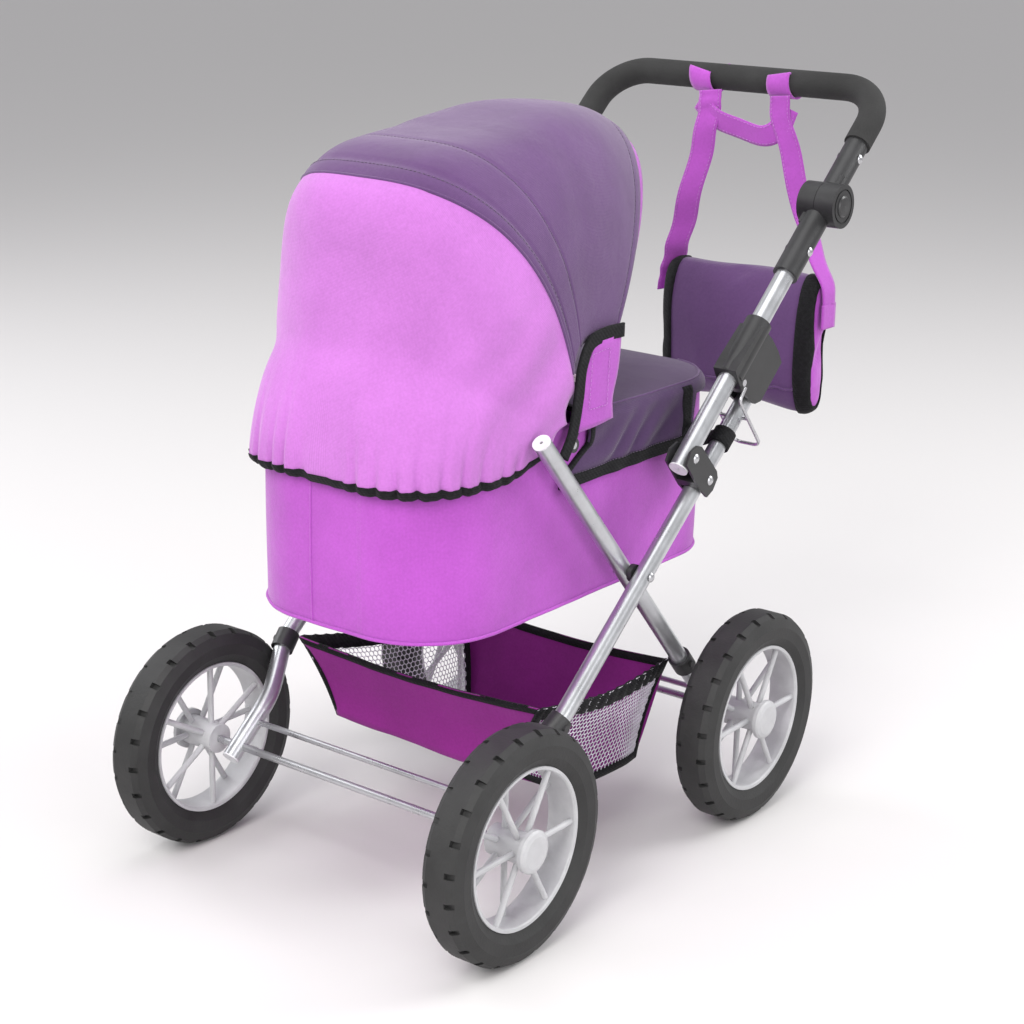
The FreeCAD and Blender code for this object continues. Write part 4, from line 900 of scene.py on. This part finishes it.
def basket_line(pick, samples=48):
    """One smooth edge of the basket, picked from the stations."""
    return smooth_line([mm(*pick(station)) for station in BASKET], samples)


top_right = basket_line(lambda s: (s[1], s[0][0], s[0][1]))
floor_right = basket_line(lambda s: (s[3], s[2][0], s[2][1]))


def across(left, right, samples=40, sag=0.0):
    """Rows of points between two lines, hanging a little in the middle."""
    share = np.linspace(0, 1, samples)[None, :, None]
    grid = left[:, None] * (1 - share) + right[:, None] * share
    grid[..., 2] -= sag * np.sin(np.pi * share[..., 0])
    return grid


def mirrored(line):
    return line * np.array([-1, 1, 1])


floor = across(mirrored(floor_right), floor_right, 48, 0.003)


def end_panel(floor_edge, corner, rise, sag):
    """A sloping end of the basket, from its floor's edge up to a line that sags between two corners."""
    top_edge = across(mirrored(corner), corner, 48, sag)[0]
    return floor_edge[None] * (1 - rise) + top_edge[None] * rise


front_rise = np.linspace(1, 0, 14)[:-1, None, None]
front_panel = end_panel(floor[0], top_right[:1], front_rise, 0.007)
front_panel[..., 1] += 0.004 * np.sin(np.pi * front_rise[..., 0])
rear_rise = np.linspace(0, 1, 14)[1:, None, None]
rear_panel = end_panel(floor[-1], top_right[-1:], rear_rise, 0.006)
trough = np.concatenate([front_panel, floor, rear_panel])
trough = push(trough, field(trough, 12, 41.0) * 0.0026 + field(trough, 30, 43.0) * 0.0008)
basket_cloth = sheet("basket_trough", trough, "violet_basket", BASKET_CLOTH)
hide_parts("basket")

basket_pieces = [basket_cloth]


def honeycomb(name, grid, cell, wire):
    """A net of six-sided holes laid over a four-sided patch, with real openings."""
    rows, columns = grid.shape[:2]
    height = np.linalg.norm(grid[-1, columns // 2] - grid[0, columns // 2])
    width = np.linalg.norm(grid[rows // 2, -1] - grid[rows // 2, 0])
    corners = {}
    faces = []
    points = []

    def corner(u, v):
        key = (round(u * 1e5), round(v * 1e5))
        if key not in corners:
            uu = np.clip(u / width, 0, 1) * (columns - 1)
            vv = np.clip(v / height, 0, 1) * (rows - 1)
            i, j = min(int(vv), rows - 2), min(int(uu), columns - 2)
            a, b = vv - i, uu - j
            point = ((1 - a) * (1 - b) * grid[i, j] + (1 - a) * b * grid[i, j + 1]
                     + a * (1 - b) * grid[i + 1, j] + a * b * grid[i + 1, j + 1])
            corners[key] = len(points)
            points.append(point)
        return corners[key]

    step_u, step_v = cell * math.sqrt(3), cell * 1.5
    for row in range(int(height / step_v) + 2):
        for column in range(int(width / step_u) + 2):
            cu = column * step_u + (row % 2) * step_u / 2
            cv = row * step_v
            ring = [corner(cu + cell * math.cos(t), cv + cell * math.sin(t))
                    for t in np.radians(np.arange(30, 390, 60))]
            if len(set(ring)) == 6:
                faces.append(ring)
    piece = make_object(name, points, faces, look["net"])
    net = piece.modifiers.new("net", "WIREFRAME")
    net.thickness = wire
    net.use_even_offset = False
    return bake(piece)


for side_name, side in SIDES:
    scale = np.array([side, 1, 1])
    share = np.linspace(0, 1, 14)[:, None, None]
    panel = (floor_right * scale)[None] * (1 - share) + (top_right * scale)[None] * share
    panel[..., 0] -= side * 0.004 * np.sin(np.pi * share[..., 0])
    net = honeycomb("basket_net_" + side_name, panel, 0.0029, 0.0011)
    basket_pieces.append(net)
    gathered = panel[-3:].copy()
    ripple = np.sin(np.linspace(0, 2 * np.pi * 15, gathered.shape[1])) * 0.0012
    gathered[..., 0] += side * ripple[None]
    gathered[..., 2] += np.abs(ripple)[None] * 0.6
    edges = (gathered, panel[:2], panel[:, :3], panel[:, -3:])
    band = join("basket_tape_" + side_name,
                [sheet("band", edge, "black_tape", NET_TAPE) for edge in edges])
    basket_pieces.append(band)
end_tape = join("basket_tape_ends",
                [sheet("band", edge, "black_tape", NET_TAPE) for edge in (trough[:2], trough[-2:])])
basket_pieces.append(end_tape)
for piece in basket_pieces:
    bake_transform(piece)


# ------------------------------------------------------------------ bag
BAR = np.array([0, 0.333508, 0.662009])
BAG_LEFT, BAG_RIGHT = -0.080, 0.108
BAG_BOTTOM, BAG_TOP = 0.330, 0.480


def bag_ring(x, shrink=0.0):
    """The bag's rounded cross-section in a plane square to X: flat front, arched top."""
    points = []
    middle_z = (BAG_BOTTOM + BAG_TOP) / 2
    for turn in np.linspace(0, 2 * math.pi, 72, endpoint=False):
        c, s = math.cos(turn), math.sin(turn)
        taper = 1 - 0.16 * max(-s, 0)
        y = math.copysign(abs(c) ** (2 / 2.8), c) * (0.0265 - shrink) * taper
        z = math.copysign(abs(s) ** (2 / 3.0), s) * ((BAG_TOP - BAG_BOTTOM) / 2 - shrink)
        points.append((x, BAR[1] + y, middle_z + z))
    return np.array(points)


stations = [(0, 0.010), (0.012, 0.004), (0.05, 0.0012)] + [(k, 0) for k in np.linspace(0.12, 0.88, 8)]
stations += [(0.95, 0.0012), (0.988, 0.004), (1, 0.010)]
rings = [bag_ring(BAG_LEFT + 0.004 + (BAG_RIGHT - BAG_LEFT - 0.008) * k, s + 0.003) for k, s in stations]
bag = inflate(closed_slab("bag_cloth", rings, look["purple_free"]), 0.005, 4.0, 0.006)
points = read_points(bag)
sag = np.array([noise.noise(Vector((p[0] * 16, p[1] * 8 + 5, p[2] * 22))) for p in points]) * 0.0032
points[:, 0] = np.clip(points[:, 0], BAG_LEFT + 0.003, BAG_RIGHT - 0.003)
points[:, 1] += sag
points[:, 2] += 0.5 * sag
write_points(bag, points)
bag.data.materials.append(look["violet_free"])
for polygon in bag.data.polygons:
    near_end = not BAG_LEFT + 0.030 < polygon.center[0] < BAG_RIGHT - 0.030
    polygon.material_index = 1 if near_end and abs(polygon.normal[0]) > 0.45 else 0
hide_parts("bag_body")
fasten(bag, "bag")

surface = BVHTree.FromObject(bag, bpy.context.evaluated_depsgraph_get())


def snapped(points, lift):
    """Points dropped onto the bag's surface and raised a little."""
    result = []
    for point in points:
        place, normal, _, _ = surface.find_nearest(Vector(point))
        result.append(np.array(place + normal * lift))
    return np.array(result)


def ring_inside(x, inset):
    """The bag's section drawn in by a distance, for the bindings on its two ends."""
    ring = bag_ring(x)
    centre = ring.mean(axis=0)
    offset = ring - centre
    reach = np.linalg.norm(offset, axis=1, keepdims=True)
    return centre + offset * np.maximum(reach - inset, 0.004) / reach


for side_name, edge, outward in (("left", BAG_LEFT, -1), ("right", BAG_RIGHT, 1)):
    strips = []
    for step in np.linspace(0, 1, 9):
        along = edge - outward * 0.020 * (1 - min(step * 2, 1))
        inset = 0.011 * max(step * 2 - 1, 0)
        loop = ring_inside(along, inset)
        strips.append(snapped(np.vstack([loop, loop[:1]]), 0.0007))
    strips = np.array(strips)
    strips = push(strips, field(strips, 40, 6.0) * 0.0006)
    tape_piece = sheet("bag_tape_" + side_name, strips, "black_tape", THIN_TAPE)
    fasten(tape_piece, "bag")
flap_line = [np.array([x, BAR[1] - 0.05, 0.352 + 0.004 * math.sin((x + 0.08) * 17)])
             for x in np.linspace(BAG_LEFT + 0.014, BAG_RIGHT - 0.014, 90)]
flap = tube("bag_flap_edge", snapped(flap_line, 0.0004), 0.0014, look["purple_free"], sides=8)
fasten(flap, "bag")


def ribbon(name, centres, sides_across, width, look_name, thickness=WEBBING):
    """A flat strap along a line, facing as its sideways directions say."""
    centres = np.asarray(centres, float)
    grid = []
    for offset in np.linspace(-0.5, 0.5, 7):
        grid.append(centres + sides_across * (offset * width))
    return sheet(name, np.array(grid), look_name, thickness)


def towards(line, start, end):
    """Unit directions that turn from start to end along a line."""
    share = np.linspace(0, 1, len(line))[:, None]
    share = share * share * (3 - 2 * share)
    return unit(np.array(start)[None] * (1 - share) + np.array(end)[None] * share)


LOOP_RADIUS = 0.0150
WIDE_STRAP, NARROW_STRAP, BRIDGE_WIDTH = 0.025, 0.021, 0.022
strap_parts = []


def wrap(start_x, end_x, start, end, lean):
    """One turn of strap round the bar, closing on itself below it."""
    turns = np.radians(np.linspace(start, end, 70))
    share = np.linspace(0, 1, 70)
    drift = start_x + (end_x - start_x) * share
    droop = 0.012 * np.clip(np.abs(share - 0.5) * 2 - 0.72, 0, 1) / 0.28
    loop = np.stack([drift, BAR[1] + np.sin(turns) * LOOP_RADIUS,
                     BAR[2] - np.cos(turns) * LOOP_RADIUS - droop], 1)
    direction = towards(loop, (1, 0, -lean), (1, 0, lean))
    return ribbon("strap_ring", loop, direction, WIDE_STRAP, "violet")


def wrinkled(line, amount, waves):
    """A hanging strap's small waves across its face."""
    share = np.linspace(0, 1, len(line))
    wave = np.sin(share * math.pi * 2 * waves + 2.0 * np.sin(share * 7)) * np.sin(share * math.pi)
    line = line.copy()
    line[:, 1] += wave * amount
    return line


strap_parts.append(wrap(-0.047, -0.037, -168, 176, 0.25))
strap_parts.append(wrap(0.044, 0.050, -172, 170, -0.2))
left_fall = smooth_line([BAR + (-0.031, -0.0150, -0.0120), BAR + (-0.033, -0.0130, -0.034),
                         (-0.043, 0.3245, 0.585), (-0.056, 0.3260, 0.535), (-0.068, 0.3290, 0.492),
                         (-0.0775, 0.3330, 0.462), (-0.0815, 0.3340, 0.440)], 90)
left_fall = wrinkled(left_fall, 0.0022, 6)
left_facing = towards(left_fall, (1, 0.05, 0.12), (0.55, 0.85, 0.1))
strap_parts.append(ribbon("strap_fall", left_fall, left_facing, WIDE_STRAP, "violet"))
right_fall = smooth_line([BAR + (0.049, -0.0148, -0.0120), BAR + (0.050, -0.0125, -0.034),
                          (0.061, 0.3250, 0.595), (0.070, 0.3280, 0.560), (0.079, 0.3310, 0.528),
                          (0.0925, 0.3330, 0.495), (0.1075, 0.3335, 0.466), (0.1098, 0.3335, 0.448)], 90)
right_fall = wrinkled(right_fall, 0.0014, 4)
right_facing = towards(right_fall, (1, 0.1, 0.1), (0.06, 1, 0))
strap_parts.append(ribbon("strap_fall", right_fall, right_facing, NARROW_STRAP, "violet"))
patch_line = np.array([(0.1098, 0.3335, 0.449), (0.1100, 0.3335, 0.436), (0.1100, 0.3335, 0.424)])
strap_parts.append(ribbon("strap_patch", smooth_line(patch_line, 12),
                          np.tile([0.0, 1.0, 0.0], (12, 1)), 0.026, "violet", THICK_WEBBING))
bridge = smooth_line([BAR + (-0.046, -0.0115, -0.0240), BAR + (-0.026, -0.0110, -0.0400),
                      BAR + (0.002, -0.0100, -0.0480), BAR + (0.030, -0.0110, -0.0530),
                      BAR + (0.048, -0.0110, -0.0440), BAR + (0.0560, -0.0090, -0.0240)], 60)
upright = unit(np.cross(unit(np.gradient(bridge, axis=0)), (0, 1, 0.35)))
strap_parts.append(ribbon("strap_bridge", bridge, upright, BRIDGE_WIDTH, "violet"))
for line, sides_across, width in ((left_fall, left_facing, WIDE_STRAP),
                                  (right_fall, right_facing, NARROW_STRAP),
                                  (bridge, upright, BRIDGE_WIDTH)):
    for place in (-0.40, 0.40):
        strap_parts.append(stitches("strap_thread", line + sides_across * (place * width),
                                    np.array([0, -0.0010, 0]), look["thread"]))
strap = join("bag_strap_webbing", strap_parts)
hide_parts("bag_strap")
fasten(strap, "bag")


# ------------------------------------------------------------------ cot straps
# A black webbing loop on each lower tube, above the link, holds the cot's side.
STRAP_PLACE, STRAP_WIDTH = 0.424, 0.016
TUBE_START = mm(0, -260, 100)
TUBE_ANGLE = math.radians(40)
TUBE_X = 0.157
strap_pieces = []
tube_run = np.array([0, math.cos(TUBE_ANGLE), math.sin(TUBE_ANGLE)])
tube_square = np.array([0, -math.sin(TUBE_ANGLE), math.cos(TUBE_ANGLE)])
for side_name, side in SIDES:
    middle_point = TUBE_START + tube_run * STRAP_PLACE
    turns = np.radians(np.linspace(-170, 170, 48))
    loop = np.array([middle_point + np.array([side * (TUBE_X + 0.0094 * math.cos(t)), 0, 0])
                     + tube_square * 0.0094 * math.sin(t) for t in turns])
    strap_pieces.append(ribbon("strap_loop", loop, np.tile(tube_run, (48, 1)), STRAP_WIDTH,
                               "black_tape", THICK_WEBBING))
    tail = smooth_line([middle_point + np.array([side * (TUBE_X - 0.0090), 0, 0]) + tube_square * 0.0010,
                        middle_point + np.array([side * 0.136, 0, 0]) - tube_square * 0.0040,
                        middle_point + np.array([side * 0.1195, 0, 0]) + tube_square * 0.0030,
                        middle_point + np.array([side * 0.1168, 0, 0]) - tube_square * 0.0140], 40)
    strap_pieces.append(ribbon("strap_tail", tail, np.tile(tube_run, (40, 1)), STRAP_WIDTH,
                               "black_tape", THICK_WEBBING))
cot_straps = join("cot_strap_webbing", strap_pieces)
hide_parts("carrycot_straps")
fasten(cot_straps, "lower_frame")


# ------------------------------------------------------------------ floor, light, camera
def area_light(name, place, target, energy, size, color=(1, 1, 1)):
    light = bpy.data.lights.new(name, "AREA")
    light.energy = energy
    light.size = size
    light.color = color
    lamp = bpy.data.objects.new(name, light)
    lamp.location = place
    direction = Vector(target) - Vector(place)
    lamp.rotation_euler = direction.to_track_quat("-Z", "Y").to_euler()
    bpy.context.scene.collection.objects.link(lamp)


floor_material, floor_tree, floor_shader = new_material("pale_floor", (0.66, 0.645, 0.645), 0.8)
floor_grain = noise_node(floor_tree, object_coordinates(floor_tree), 30, 3.0)
add_bump(floor_tree, floor_shader, [(floor_grain, 0.05, 0.001)])
FLOOR_HALF = 25
floor_corners = [(x * FLOOR_HALF, y * FLOOR_HALF, 0) for x, y in ((-1, -1), (1, -1), (1, 1), (-1, 1))]
floor_piece = make_object("floor", floor_corners, [(0, 1, 2, 3)], floor_material)

area_light("key", (0.5, -2.3, 2.2), (0, 0, 0.35), 66, 1.5, (1, 0.985, 0.965))
area_light("fill", (-2.4, -0.6, 1.6), (0, 0, 0.35), 32, 1.8, (0.97, 0.98, 1))
area_light("rim", (1.6, 2.0, 1.9), (0, 0, 0.4), 40, 1.4)
area_light("side", (2.3, -0.9, 1.0), (0, 0, 0.35), 20, 1.6)
area_light("top", (0, 0, 3.0), (0, 0, 0), 26, 2.0)
world = bpy.data.worlds.new("studio")
world.use_nodes = True
world.node_tree.nodes["Background"].inputs["Color"].default_value = (0.93, 0.93, 0.95, 1)
world.node_tree.nodes["Background"].inputs["Strength"].default_value = 0.62
bpy.context.scene.world = world
bpy.context.scene.view_settings.view_transform = "Standard"

AZIMUTH, ELEVATION, ROLL = math.radians(37.79), math.radians(17.01), math.radians(1.04)
TARGET = Vector((0.0097, -0.0822, 0.3107))
DISTANCE = 1.8677
back = Vector((math.sin(AZIMUTH) * math.cos(ELEVATION), -math.cos(AZIMUTH) * math.cos(ELEVATION),
               math.sin(ELEVATION)))
level_right = Vector((math.cos(AZIMUTH), math.sin(AZIMUTH), 0))
level_up = back.cross(level_right)
right = level_right * math.cos(ROLL) + level_up * math.sin(ROLL)
up = level_up * math.cos(ROLL) - level_right * math.sin(ROLL)
camera_data = bpy.data.cameras.new("camera")
camera_data.sensor_width = 36
camera_data.lens = 73.43
camera_data.shift_x = 0.0212
camera_data.shift_y = -0.0031
camera_data.clip_end = 30
camera = bpy.data.objects.new("camera", camera_data)
facing = Matrix((right, up, back)).transposed().to_4x4()
camera.matrix_world = Matrix.Translation(TARGET + back * DISTANCE) @ facing
bpy.context.scene.collection.objects.link(camera)
bpy.context.scene.camera = camera
